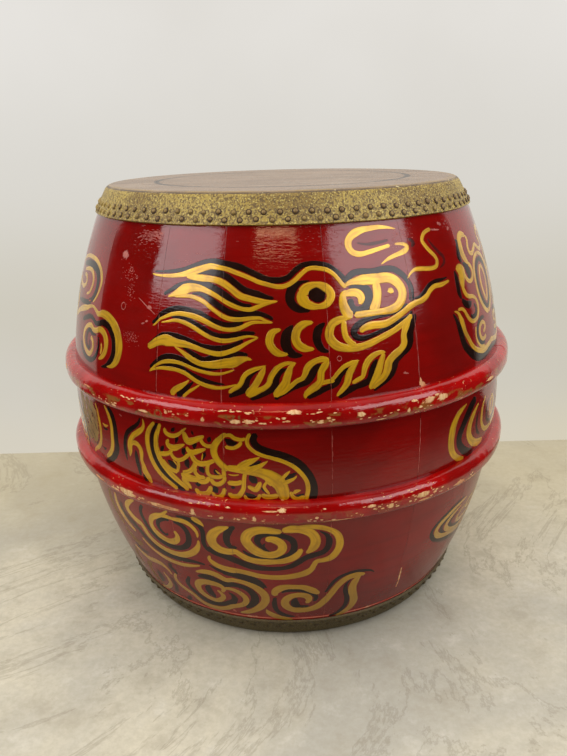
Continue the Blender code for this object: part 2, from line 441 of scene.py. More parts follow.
def paint_material(name, colours, metallic, rough, ridge, coat=0.0):
    """Brushed enamel: soft streaks along the stroke, duller at its edges, with painted shade near the foot,
    cracked at the seams."""
    strong, thin, edge = colours
    material, tree, shader = new_material(name)
    across = number(tree, "across")
    run = {"X": product(tree, across, 2.2), "Y": product(tree, number(tree, "along"), 60.0),
           "Z": product(tree, number(tree, "shade"), 40.0)}
    run = node(tree, "ShaderNodeCombineXYZ", run).outputs[0]
    streaks = node(tree, "ShaderNodeTexNoise", {"Vector": run, "Scale": 1.0, "Detail": 3.0}).outputs["Fac"]
    mottle = grain(tree, 70.0, detail=4)
    colour = blend(tree, between(tree, streaks, 0.40, 0.75, 0.0, 0.8), strong, thin)
    colour = blend(tree, between(tree, mottle, 0.45, 0.75, 0.0, 0.7), colour, thin)
    side = math_node(tree, "ABSOLUTE", across)
    colour = blend(tree, between(tree, side, 0.80, 0.99, 0.0, 0.6), colour, edge)
    # Painted shade: low on the body the paint turns towards its duller edge tone
    colour = blend(tree, between(tree, height_of(tree), 0.07, 0.17, 0.7, 0.0), colour, edge)
    crack = between(tree, math_node(tree, "ABSOLUTE", number(tree, "seam")), 0.0001, 0.0003, 0.8, 0.0)
    crack = product(tree, crack, between(tree, grain(tree, 1.0, (60, 60, 160), 2), 0.4, 0.6))
    plug(tree, shader, {"Base Color": blend(tree, crack, colour, display(70, 18, 8)), "Metallic": metallic,
                        "Roughness": between(tree, mottle, 0.3, 0.7, rough, rough + 0.1), "IOR": 1.5})
    if coat:
        plug(tree, shader, {"Coat Weight": coat, "Coat Roughness": 0.08})
    ripple = grain(tree, 1.0, BRUSHING, 3, distortion=0.4)
    bump(tree, shader, (streaks, ridge), (ripple, 0.00008), (crack, -0.0002))
    return material


def chip_material(name, pale, dull, edge):
    """Wood or primer where lacquer has come off, with a dirty edge."""
    material, tree, shader = new_material(name)
    streak = grain(tree, 1.0, (500, 500, 60), 3)
    colour = blend(tree, between(tree, streak, 0.35, 0.7), pale, dull)
    colour = blend(tree, between(tree, grain(tree, 24.0, detail=2), 0.48, 0.62, 0.0, 0.6), colour, edge)
    side = math_node(tree, "ABSOLUTE", number(tree, "across"))
    colour = blend(tree, between(tree, side, 0.6, 1.0, 0.0, 0.7), colour, edge)
    plug(tree, shader, {"Base Color": colour, "Roughness": 0.6})
    bump(tree, shader, (streak, 0.0002))
    return material


def hide_side(tree, colours, fine, broad):
    """Speckled gold paint on a hide's side."""
    colour = blend(tree, between(tree, broad, 0.36, 0.68), colours[0], colours[1])
    colour = blend(tree, between(tree, fine, 0.44, 0.60, 0.0, 0.85), colour, colours[2])
    sparkle = between(tree, grain(tree, 760.0, detail=2), 0.56, 0.66)
    return blend(tree, product(tree, sparkle, 0.65), colour, colours[3])


def hide_face(tree, colours, streaks, broad):
    """Handled rawhide with a dark ring where it is struck, and the ring's strength."""
    colour = blend(tree, between(tree, streaks, 0.38, 0.66), colours[0], colours[1])
    colour = blend(tree, between(tree, broad, 0.5, 0.75, 0.0, 0.7), colour, colours[2])
    radius = number(tree, "radius")
    wobble = product(tree, math_node(tree, "SUBTRACT", broad, 0.5), 0.02)
    from_ring = math_node(tree, "ADD", apart(tree, radius, RING_SHARE), wobble)
    ring = between(tree, from_ring, 0.006, 0.022, 0.9, 0.0)
    colour = blend(tree, ring, colour, colours[3])
    patches = between(tree, grain(tree, 34.0, detail=4), 0.42, 0.58)
    rim = product(tree, between(tree, radius, 0.93, 0.985), between(tree, patches, 0.0, 1.0, 0.35, 1.0))
    return blend(tree, product(tree, rim, 0.8), colour, colours[4]), ring


def hide_corner(tree, colour, face):
    """The colour with a dirty, flecked corner between a hide's face and its side."""
    corner = product(tree, between(tree, face, 0.05, 0.35), between(tree, face, 0.75, 1.0, 1.0, 0.0))
    dirt = product(tree, corner, between(tree, grain(tree, 60.0, detail=4), 0.36, 0.56, 0.5, 1.0))
    colour = blend(tree, dirt, colour, display(92, 68, 40))
    fleck = product(tree, corner, between(tree, grain(tree, 1.0, (260, 260, 500), 3), 0.66, 0.72))
    return blend(tree, fleck, colour, display(240, 222, 160))


def hide_material(name, side_colours, face_colours):
    """Rawhide: a waxy, handled face, and a side brushed with speckled gold paint."""
    material, tree, shader = new_material(name)
    face = number(tree, "face")
    fine = grain(tree, 620.0, (1, 1, 0.7), 3)
    broad = grain(tree, 26.0, detail=5)
    streaks = grain(tree, 1.0, (9, 60, 60), 4)
    top, ring = hide_face(tree, face_colours, streaks, broad)
    colour = blend(tree, face, hide_side(tree, side_colours, fine, broad), top)
    colour = hide_corner(tree, colour, face)
    rough = between(tree, face, 0.0, 1.0, 0.42, 0.30)
    rough = math_node(tree, "ADD", rough, between(tree, fine, 0.3, 0.7, -0.06, 0.12))
    plug(tree, shader, {"Base Color": colour, "Roughness": rough, "IOR": 1.5})
    rugged = between(tree, face, 0.0, 1.0, 1.0, 0.12)
    bump(tree, shader, (product(tree, fine, rugged), 0.0006), (product(tree, broad, rugged), 0.0008),
         (ring, -0.0003), (streaks, 0.00015))
    return material


def tack_material(name, crown, edge, gilt):
    """Domed tacks under the same paint as the hide, with dark brown round the foot of each, partly dirt
    and partly painted shade.
    """
    material, tree, shader = new_material(name)
    mottle = grain(tree, 420.0, detail=3)
    colour = blend(tree, between(tree, mottle, 0.35, 0.68), crown[0], crown[1])
    colour = blend(tree, product(tree, number(tree, "shade"), 0.7), colour, crown[2])
    # Partly dirt, partly painted shade: dark brown round the foot of each tack, where it meets the hide
    colour = blend(tree, between(tree, number(tree, "radius"), 0.50, 0.78, 0.0, 0.95), colour, edge)
    colour = blend(tree, product(tree, number(tree, "gilt"), 0.8), colour, gilt)
    plug(tree, shader, {"Base Color": colour, "Metallic": 0.1, "Roughness": 0.45})
    bump(tree, shader, (mottle, 0.0003))
    return material


def stone_colour(tree):
    """Pale mottled stone with fine veins, duller towards the wall."""
    broad = grain(tree, 2.6, detail=8, roughness=0.62, distortion=0.4)
    fine = grain(tree, 24.0, detail=7, roughness=0.68)
    veins = grain(tree, 1.9, detail=10, roughness=0.7, distortion=1.4)
    grit = between(tree, grain(tree, 150.0, detail=4, roughness=0.7), 0.35, 0.65, 0.0, 0.22)
    depth = node(tree, "ShaderNodeSeparateXYZ", {0: own_place(tree)}).outputs["Y"]
    colour = blend(tree, between(tree, broad, 0.34, 0.66), display(206, 196, 172), display(174, 168, 154))
    colour = blend(tree, between(tree, fine, 0.48, 0.70, 0.0, 0.45), colour, display(158, 148, 128))
    colour = blend(tree, between(tree, fine, 0.30, 0.45, 0.3, 0.0), colour, display(216, 210, 196))
    colour = blend(tree, grit, colour, display(150, 142, 122))
    colour = blend(tree, between(tree, depth, -0.14, 0.18, 0.0, 0.6), colour, display(160, 148, 118))
    return blend(tree, between(tree, apart(tree, veins, 0.5), 0.0, 0.012, 0.28, 0.0), colour,
                 display(118, 108, 90))


def floor_material():
    """A stone slab, which the lacquer mirrors only near the drum, as on a small table: the camera sees
    the stone, the light it bounces is dimmed as painted shade, and its reflection is painted, warm and
    dark near the drum and darker further out.
    """
    material, tree, shader = new_material("floor")
    stone = stone_colour(tree)
    away = node(tree, "ShaderNodeVectorMath", {0: own_place(tree)}, operation="LENGTH").outputs["Value"]
    path = node(tree, "ShaderNodeLightPath")
    # Painted shade: to bounced light the floor is dimmed towards dark grey
    dimmed = blend(tree, 0.5, stone, display(26, 25, 26))
    # Painted reflection: what the lacquer mirrors of the floor is warm and dark near the drum, darker further
    # out
    mirrored = blend(tree, 0.3, stone, display(60, 40, 26))
    mirrored = blend(tree, between(tree, away, 0.42, 0.74), mirrored, display(30, 29, 29))
    seen = blend(tree, path.outputs["Is Glossy Ray"], dimmed, mirrored)
    plug(tree, shader, {"Base Color": blend(tree, path.outputs["Is Camera Ray"], seen, stone),
                        "Roughness": 0.8, "Specular IOR Level": 0.0})
    return material


def wall_material():
    """A pale wall that glows with its own colour, which only the camera and reflections see, and only from
    in front; painted light and shade make it darker near the floor and lighter higher up.
    """
    material, tree, _ = new_material("wall")
    tree.nodes.clear()
    height = height_of(tree)
    # Painted light and shade: the glowing wall is darker and warmer near the floor and lighter higher up
    colour = blend(tree, between(tree, height, 0.0, 0.12), display(213, 205, 184), display(205, 200, 186))
    colour = blend(tree, between(tree, height, 0.20, 0.46), colour, display(220, 217, 210))
    colour = blend(tree, between(tree, height, 0.42, 0.64), colour, display(231, 228, 223))
    colour = blend(tree, between(tree, grain(tree, 1.6, detail=4), 0.35, 0.7, 0.0, 0.5), colour,
                   display(214, 210, 202))
    glow = node(tree, "ShaderNodeEmission", {"Color": colour, "Strength": 1.0}).outputs[0]
    clear = node(tree, "ShaderNodeBsdfTransparent").outputs[0]
    behind = node(tree, "ShaderNodeNewGeometry").outputs["Backfacing"]
    mixed = node(tree, "ShaderNodeMixShader", {0: behind, 1: glow, 2: clear}).outputs[0]
    node(tree, "ShaderNodeOutputMaterial", {"Surface": mixed})
    return material


# Painted strokes, listed one by one: each is a colour, its widths in millimetres spread along it, and
# its points as pairs of azimuth in degrees and height in millimetres.

def stroke(colour, widths, *numbers):
    widths = (widths,) if isinstance(widths, (int, float)) else widths
    return colour, widths, [(numbers[i], numbers[i + 1]) for i in range(0, len(numbers), 2)]


def gold(widths, *numbers):
    return stroke("gold", widths, *numbers)


def black(widths, *numbers):
    return stroke("black", widths, *numbers)


MANE = [
    gold((1, 3, 5, 3, 3, 3, 3, 3, 3), -32.6, 365.6, -31, 364.8, -28, 365, -26, 365.6, -24, 366.8,
         -22, 368.8, -20, 371, -18, 373.2, -16.8, 374, -15, 373.2, -13, 372, -11, 369.6, -9, 367.2,
         -7, 364.4, -6, 362.8, -4, 360.8, -2, 359, -0.4, 358.8, 1, 360.4, 2.4, 363.6, 4, 368.4, 5.2, 371.2,
         6.4, 372, 8, 371.4, 9.6, 370, 11, 366.8, 12, 362.8, 13, 358, 13.8, 356),
    gold((4, 4.5, 4.5, 4.5, 4, 1), -23, 366.8, -21, 365.2, -19, 364.8, -17, 364.4, -15, 363.2, -13.4, 360.8,
         -12, 357.6, -10, 352.4, -8, 350.2, -6, 348.5, -4, 347.6, -1.6, 347.8),
    gold((1, 8, 4, 3, 3, 3, 1), -27.4, 348.8, -26, 350.8, -24, 354, -22, 356.8, -20, 357.2, -18.6, 356.4,
         -17, 354.4, -15, 351.2, -13, 347.2, -11, 344, -9, 342, -7.4, 341.8, -6, 343.6, -4, 346,
         -1.6, 347.8),
    gold((1, 3, 3, 3, 3, 1), -25.6, 349.2, -23.2, 350, -21.6, 350.4, -20, 349.2, -18, 346.4, -16.4, 342.4,
         -14.8, 338.8, -13.4, 336, -12, 334.4, -10, 334, -8, 334.8, -6.8, 335.2, -5.4, 335.2, -4.2, 333.2,
         -2.7, 331.6),
    gold((1, 3, 4, 3, 3, 1), -30.9, 324.4, -30, 326.8, -29, 330.4, -27.6, 332.8, -26, 335.2, -24, 336.4,
         -22, 336, -20, 334.8, -18, 332.4, -16, 329.2, -14, 326.8, -12, 326, -10, 327.2, -8, 330.6,
         -6.8, 332, -5, 332, -2.7, 331.6),
    gold((1, 3, 3, 3, 1), -28.6, 328, -27, 329.2, -25, 330.8, -23, 330, -21, 327.6, -19, 324, -17, 320.4,
         -15, 318, -13, 317.2, -11, 318.4, -9, 320.4, -7.6, 321.2, -5.8, 320.2),
    gold((4, 8, 4, 3.5, 3.5, 1), -32, 306.4, -30.8, 308.8, -29.4, 312, -27.6, 314, -25.6, 313.6, -24, 312.8,
         -22, 312.4, -20, 310.8, -18, 308.8, -16, 307.2, -14, 306.8, -12, 308.8, -10, 312, -8, 316.4,
         -5.8, 320.2),
    gold((1, 4, 4, 6, 7, 1), -24.8, 309.6, -23.2, 306.8, -21.6, 303.2, -20, 300, -18.4, 298, -16.4, 297.6,
         -14.4, 298.4, -12.8, 299.6, -11.6, 300, -10, 302, -8.4, 303.6, -7.2, 302.8),
    gold((1, 3, 2.5, 2.5, 1), -31.3, 286.4, -30.2, 290.4, -29, 293.6, -27.6, 296, -26, 297.2, -24, 297.2,
         -22, 295.6, -20, 293.2, -18, 291.6, -16, 290.6, -14, 290.8, -12.4, 292.4, -11, 294.4),
    gold((1, 3, 3, 3, 1), -31.3, 286.4, -30, 288.8, -28, 290.8, -26, 291.2, -24, 290.8, -22, 288.8,
         -20.4, 285.6, -19, 282.8, -17, 280.4, -15, 279.2, -13.4, 279.6, -12, 280.8, -10.4, 282.8),
    gold((4.5, 4.5, 1), -25.4, 269.2, -24.6, 273.6, -23.2, 277.2, -22, 280.4, -21, 283.6),
    gold((2.5, 2.5, 1), -22.6, 268.8, -21.2, 273.6, -19.8, 277.2, -18.6, 280.4),
    black((4, 4, 1), -24, 268.8, -22.4, 274.4, -21.2, 278.4, -20, 282.8),
    black((1, 3, 4, 4, 3.5, 3.5, 4, 4, 4), -32, 367.5, -28, 368.4, -24, 370.4, -22, 372.8, -20, 375.2,
          -18, 377.2, -16, 377.6, -14, 376.4, -12, 375.2, -10, 373.6, -8, 370.8, -6, 367.6, -4, 364.4,
          -2, 363.6, -0.4, 364, 1, 366, 2.4, 370.4, 4, 374, 6, 375.2, 8, 374.8, 10, 372.8, 11.6, 368.8,
          12.8, 364.8, 13.6, 361.6, 14, 362, 15.5, 365.8, 17.5, 367, 20.5, 366.2, 23, 367, 25.5, 366.6,
          27, 364.2, 28.5, 360, 29.5, 355, 30, 350, 29.9, 344, 29.5, 339),
    black((2, 4, 4, 4, 4, 2), -20.4, 368, -19, 369.6, -17, 369.6, -15, 368.8, -13, 366.4, -11, 361.6,
          -9, 356.8, -7, 354.4, -6, 353.6, -4, 351.2, -2.4, 350),
    black((2, 4, 4, 4, 2), -28.6, 350.4, -27, 353.6, -25, 357.6, -23, 359.6, -21, 360.8, -19, 360.8,
          -17, 359.2, -15, 356, -13, 352, -11, 347.6, -9, 344.8, -7.2, 344.8),
    black((1, 4, 4, 4, 2), -21.2, 352.4, -19.6, 352.8, -18, 351.2, -16, 347.2, -14, 342.8, -12, 339.2,
          -10, 338, -8, 338.6, -6, 338.8, -4, 336.8, -2.6, 334),
    black((2, 4, 4, 4, 3), -31.2, 326.4, -30, 329.6, -28.8, 334.4, -27, 338, -25, 340, -23, 340, -21, 339.2,
          -19, 337.6, -17, 334, -15, 331.2, -13, 329.6, -11, 330, -9, 332),
    black((1, 4, 4, 4, 2), -26, 332.8, -24, 333.6, -22, 332, -20, 328.8, -18, 325.6, -16, 322, -14, 320.4,
          -12, 320.8, -10, 322.8, -8, 323.6, -6.4, 323.6),
    black((2, 4, 4, 4, 2), -31.8, 308.8, -30, 313.6, -28.4, 317.6, -27, 318.4, -25, 318.4, -23, 317.2,
          -21, 315.2, -19, 312.4, -17, 311.2, -15, 310.8, -13, 312, -11, 314.4, -9, 318),
    black((1, 4, 4, 4, 2), -23.2, 310.8, -21.6, 308, -20, 304.8, -18.6, 302, -17.4, 301.2, -16, 303.2,
          -14, 304, -12, 305.6, -10, 307.6, -8, 306.4),
    black((2, 4, 4, 3, 2), -31.2, 289.6, -29.6, 295.2, -28, 299.2, -26, 301.2, -24, 300.8, -22, 298.8,
          -20, 296.4, -18, 294.8, -16, 294.4, -14.4, 295.6, -13, 297.2),
    black((1, 3, 3, 3, 1), -29, 291.2, -27, 294, -25, 294.4, -23, 293.2, -21, 289.6, -19, 286.4, -17, 284,
          -15, 282.8, -13, 282.4),
]

BEARD = [
    gold((3, 4, 4.5, 4.5, 4.5, 4, 3, 1), -12.2, 275.6, -11.2, 278.6, -10, 281.6, -9.4, 285, -9.1, 288,
         -8.4, 291.5, -7, 294.6, -4.3, 298.2),
    gold((1, 5, 6, 6, 6, 7, 5), -4.4, 297.6, -5, 293, -5.7, 288, -6.3, 284, -7, 280, -7.9, 276,
         -8.4, 273.6),
    black((1, 4, 5.5, 5.5, 6, 5, 4, 2), -5.8, 294.4, -7.2, 292.4, -8.2, 288.6, -8.5, 284.4, -8.9, 280,
          -10, 276.8, -11.4, 274, -12.2, 272.2),
    gold((6, 6, 5, 4.5, 5, 5, 5, 4, 3, 1), -8.4, 274, -6.5, 277, -4.6, 280.5, -3.7, 284, -3.4, 288,
         -2.8, 292, -2, 295.8, -0.8, 298.8, 0.5, 300, 2, 299.8),
    gold((1, 4, 6, 7, 8, 8, 7, 4), 1.9, 299.6, 0.9, 297, 0.4, 292.5, 0, 288, -0.3, 284, -1, 280, -2, 276,
         -2.7, 273),
    black((1, 4, 5, 5, 5, 5, 5, 3), 0.2, 295.6, -1.2, 293.5, -2.1, 289, -2.4, 284, -3, 280, -4.4, 277,
          -6.4, 273.5, -7.6, 270.6),
    gold((5, 6, 5, 4, 4, 4.5, 5.5, 6, 5, 5, 3), -2.6, 274.8, -1, 277.2, 0.6, 281, 2, 285.3, 3.2, 287.5,
         3.8, 291, 4.2, 295, 5, 298.5, 6.2, 301, 7.6, 302, 8.9, 300.8),
    gold((3, 6, 6, 6, 6, 7, 6, 5, 2), 8.8, 300.5, 8, 297, 7.2, 292.5, 7, 288, 6.9, 284.5, 6.2, 281,
         4.8, 277.5, 3.8, 274, 3.7, 270.8),
    gold((4, 4, 4, 3), 6.8, 282.6, 8.2, 283.6, 9.2, 284, 9.9, 283.6),
    black((2, 5, 7, 7, 5, 5, 5, 4, 3), 7.2, 298.4, 6, 295, 5, 290.5, 4, 286, 2.6, 283, 1, 280.6,
          -0.6, 276.8, -2, 273, -2.6, 271),
    gold((3, 3.5, 4, 4, 4, 1), 9, 285, 9.8, 286.5, 10.6, 290, 12, 294.5, 13.6, 296.8, 15.4, 298.4),
    gold((1, 4, 6.5, 6.5, 6, 5, 4, 2), 15.2, 298, 14.3, 294.5, 13.3, 290, 12.9, 286, 12.5, 281, 11.6, 276.5,
         10.6, 272.8, 10.2, 271.2),
    black((2, 5, 5, 5, 4, 5, 5, 3), 13, 293, 11.8, 291, 10.9, 287, 10.4, 283, 9.4, 280.4, 7.6, 277.8,
          5.6, 274.6, 4, 271.4),
    gold((3, 4, 4, 5, 6, 6, 5, 4, 2), 13.6, 280.5, 15, 283, 16, 284.8, 16.3, 288, 16.7, 292.5, 17.4, 297,
         18.6, 300.5, 20.2, 302.6, 21.6, 302.2),
    gold((3, 5, 6, 7, 7, 7, 6, 4), 21.2, 302, 20.8, 298, 20.3, 294, 19.9, 290, 19.3, 285, 18.6, 280,
         17.9, 276, 17.6, 273.6),
    black((2, 4, 5, 5, 5, 4, 5, 5, 3), 19.6, 297.5, 18.8, 294, 18.2, 289, 17.8, 284, 17.1, 280.5,
          15.6, 278.4, 13.6, 276.4, 11.8, 273, 10.6, 269.8),
    gold((4, 7, 6, 7, 6, 7, 7, 8, 7, 6, 5), 28.6, 327, 27.4, 321, 26.5, 314, 26.4, 307, 25.4, 302.5,
         23.6, 298.6, 22.3, 294, 21.8, 288, 20.9, 282.5, 19.4, 278.4, 18, 274.5),
    black((3, 6, 6, 6, 6, 5, 5, 5.5, 5.5, 5, 4, 2), 30.2, 329, 29, 322, 28.2, 315, 28, 308, 27.2, 303,
          25.6, 298.6, 24.1, 294.4, 23.5, 289.6, 22.8, 284.4, 21.6, 280.4, 19.8, 276, 18.4, 272),
]

FACE = [
    gold((5, 9.5, 7, 4, 5.5, 7, 6.5, 4, 6.5, 9), 4.3, 356, 3.7, 351, 4.6, 345.4, 6.8, 342.8, 9, 344.4,
         10.1, 350.4, 9.4, 355.8, 7.2, 359.4, 4.9, 357.6, 3.7, 352),
    black((6, 11, 12, 11, 8), 5.2, 349.5, 6, 351, 7, 351.5, 8, 352, 8.9, 353),
    black((1, 3, 7, 8, 7, 5, 2), 5.6, 362.6, 3.4, 361.2, 1.7, 357, 1.1, 351, 1.4, 346, 2.8, 341.6,
          5.4, 339.8),
    gold((2, 6.5, 6.5, 6, 2), -1, 326.4, -2.8, 324, -3.5, 317.6, -2.8, 311.2, -1.4, 307.6, 0.4, 306.8),
    black((2, 8, 8.5, 7, 2), 1.6, 329.5, 0.4, 324, -0.1, 317, 0.4, 310.5, 1.6, 306.5, 3.4, 305.6),
    gold((2, 6, 7, 7, 6, 2), 5.9, 331, 4, 330, 2.6, 326.5, 2, 320, 2.6, 314, 4, 311, 5.9, 310.2),
    black((2, 7, 7, 6, 2), 8.4, 330.2, 7, 325.6, 6.5, 319, 6.9, 313, 7.8, 309, 9, 307.6),
    gold((2, 5, 8, 8.5, 8.5, 8, 8, 8, 8, 7, 5.5, 5, 5.5, 5), 13.4, 356.4, 14.2, 358.6, 15.6, 359.8,
         18, 360.4, 21, 360.2, 23.6, 360.4, 25.4, 358.4, 26.8, 354, 27.5, 348, 27, 342, 25.6, 337,
         23.6, 335, 21, 334.6, 18, 334.4, 15, 334),
    gold((7, 7.5, 8, 9, 9), 20.9, 358, 21, 350, 20.6, 343, 19.8, 337, 19.4, 334),
    gold((3, 5, 7, 8, 8, 8), 14.2, 352, 13, 351, 12.7, 346, 12.9, 341, 13.5, 336, 14.6, 332.6),
    gold((4, 6, 6.5, 6.5, 4), 13, 350.4, 14.6, 351.6, 16.2, 350.8, 17, 347.4, 16.8, 344.4, 16.3, 342.4),
    black((1, 4, 5, 7, 7.5, 7, 6.5, 6.5, 6.5, 5), 14.2, 355.6, 15.6, 356, 17.2, 355.4, 18.5, 352.6,
          18.9, 348, 18.6, 343, 17.6, 338.8, 16, 337.2, 14.8, 339.4, 14.4, 343.5, 14.8, 347),
    gold((2, 4.6, 5, 2), 23.6, 349.4, 24.2, 350, 24.8, 349.4, 25.2, 348.4),
    gold((4, 6, 7, 7.5, 7, 6, 6, 5.5, 5, 5, 5, 5, 4), 13.6, 332.8, 11.6, 331.6, 9.9, 328.4, 9.2, 321.6,
         9.6, 316, 10.8, 311.6, 12.4, 309.4, 14, 308.6, 16, 309, 18, 310.6, 20, 313, 22, 315.6, 24, 318.2,
         26, 321.6, 28, 325.4, 29.2, 328.8),
    gold((4, 5, 5, 5, 4), 12.6, 331, 12.5, 325, 12.8, 318, 13.8, 313, 15, 310.6),
    black((2, 3.5, 3, 3, 3.5, 5, 6, 5, 4, 3.5, 3.5, 3.5, 3.5, 3), 28.4, 338, 26.6, 334.8, 24, 332, 20, 331,
          17.2, 329.2, 15.4, 325.6, 14.6, 320.8, 15.2, 317, 16.6, 315.6, 18.7, 317, 21.5, 320, 24, 322.8,
          26.5, 325.8, 28.5, 328.6, 29.4, 331.6),
    gold((4, 6.5, 6.5, 5.5, 5, 5, 5, 5, 4, 4, 3.5, 2), 16, 320.8, 17.2, 323.6, 19, 324.8, 21, 324.6,
         22.5, 325, 24.5, 327.6, 27, 331.8, 29, 335.4, 30.5, 337.2, 32.5, 338.3, 34.25, 340.8, 35.75, 345,
         37.5, 347.5, 40, 347.5, 43, 349.2),
    black((1, 4, 4, 1), 30, 341.4, 32, 341.6, 34, 345, 35.75, 349, 38, 351.2, 40.5, 351.6, 42.5, 352.4),
    gold((1, 3.5, 3.5, 3.5, 4, 3.5, 3), 29.5, 357.5, 30.5, 360.8, 32, 363.3, 34, 363.3, 36, 362.5,
         38, 362.1, 39.5, 363.3, 40.1, 367.5, 39.5, 371.7, 38, 376.7, 36.75, 382.5, 36.5, 385.8, 37.5, 390,
         39, 392.1, 40.5, 392.9),
    gold((1, 3, 4.5, 6.5, 5.5, 4, 3.5, 3), 28.75, 396.7, 26.5, 398.3, 24, 399.2, 21.5, 398.8, 19, 397.9,
         16.75, 395, 15.5, 390.8, 15.4, 385.8, 16.25, 381.7, 18, 380, 20, 380.8, 22, 382.1, 24, 383.3,
         26.25, 384.6),
    gold((1.5, 3, 4.5, 3.5, 3, 1), 27.6, 385, 28.5, 385, 30.25, 384.2, 31.25, 381.7, 30.5, 379.6, 29, 377.9,
         27, 376.3, 25, 374.2, 23, 370.8),
]

# Faint dark lines in the lacquer round the whiskers
SHADOWS = [
    stroke("shadow", (1, 3, 3.5, 3, 1), 38.5, 385.8, 39.5, 380.8, 41.25, 374.2, 42.75, 369.2, 42.5, 364.2,
           40.5, 360.8),
    stroke("shadow", (1, 3, 2), 17.5, 388.6, 20, 387, 23, 387.4, 26, 388.8),
    stroke("shadow", (1, 3, 4, 2), 31.6, 388, 32.6, 387, 33.4, 384, 32.4, 381.6),
]

FLAME = [
    gold((1, 6, 5, 4.5, 5, 6, 5, 4), 43, 322.8, 44.4, 320.4, 45.2, 315, 45.8, 309, 46.4, 302, 47.6, 295,
         48.8, 288.5, 50.4, 283.5, 52.8, 279.6, 56, 278, 60, 280, 63, 282),
    black((2, 7, 8, 8, 8, 8, 6, 5), 42.4, 321, 43.4, 315, 44.2, 307, 44.8, 299, 45.6, 291.5, 47, 285.5,
          49, 279.5, 51.4, 275, 54, 273.4, 58, 273.4, 63, 275),
    gold((2, 3.5, 4, 4, 4, 4, 4, 3.5, 4, 5, 5), 44.5, 323, 46.2, 322.8, 47.3, 320, 48, 316, 49, 311.5,
         50.4, 308.8, 52, 308.6, 53.4, 310.6, 54.4, 315, 54.6, 321, 53.8, 326.8, 52.2, 329.8, 50.6, 330.8,
         49.3, 333, 48.4, 338, 48.2, 344),
    black((3, 7, 7, 4), 46.8, 331, 48, 326.4, 49.6, 324.2, 51.2, 325.4),
    black((2, 5, 5, 4, 2), 49.8, 315.4, 51, 312, 52.6, 313.6, 53.2, 318.4, 52.4, 323.6),
    gold((3, 8, 10, 8, 5), 46.8, 357, 48, 355.4, 48.8, 351, 48.4, 345, 48.3, 339),
    gold((3, 5, 4, 4, 4, 4, 4), 47, 357.4, 48.6, 358.4, 50, 355.4, 50.3, 350, 51.3, 345, 52.8, 343,
         54.4, 345, 55.2, 350, 54.8, 355, 53.6, 358.4),
    black((2, 5, 9, 9, 3), 50.4, 360, 51.6, 357.6, 52.6, 353, 52.8, 349, 52, 345.6),
    black((2, 6, 6, 6, 3), 46, 356, 46.2, 350, 46.2, 343, 46.2, 337, 46.8, 331),
    gold((4, 6, 7, 8, 7, 4), 56.4, 381.6, 54, 383.4, 52.2, 380.4, 51.8, 374, 51.8, 368, 52.6, 362.4,
         53.8, 358),
    gold((3, 4, 4, 4, 4), 56.4, 381.6, 57, 377, 56.2, 371.6, 56.4, 366.4, 58, 364.8, 60, 367.6, 62, 371.6),
    black((2, 6, 6, 6, 3), 49.8, 380.6, 50.6, 377, 50, 371, 49.6, 365.6, 50.4, 360.6),
    gold((3, 4.5, 4.5, 4.5, 4.5, 4.5), 62, 363.4, 59, 360.4, 57, 354, 56.2, 345, 56, 336, 56.6, 326.4,
         58, 318, 60, 311.6, 62, 308.6),
    black((5, 5, 5, 5, 5), 62, 358.4, 60, 355.6, 58.4, 351, 57.6, 344, 57.4, 336, 57.9, 328, 59, 321,
          60.6, 315.6, 62, 313),
    gold((4, 4, 4, 4), 62, 352, 60.8, 349, 59.9, 343, 59.7, 336, 60.2, 329, 61.2, 322.4, 62, 319),
    gold((4, 4, 4, 4, 3), 57.6, 290, 55.8, 288, 54.2, 290.4, 53.6, 296, 54.3, 301.4, 55.9, 303.4,
         57.4, 300.4, 57, 296, 55.8, 294.6),
    black((3, 4.5, 4.5, 4.5, 3), 56.6, 284.4, 54.2, 285.4, 52.8, 290.4, 52.3, 297, 53.1, 303.4, 55, 307.2,
          57.6, 307.2),
    gold((2, 3, 3, 2), 51.7, 303, 51.3, 296, 51.8, 289.4, 53.4, 283.4, 56, 281.6),
]

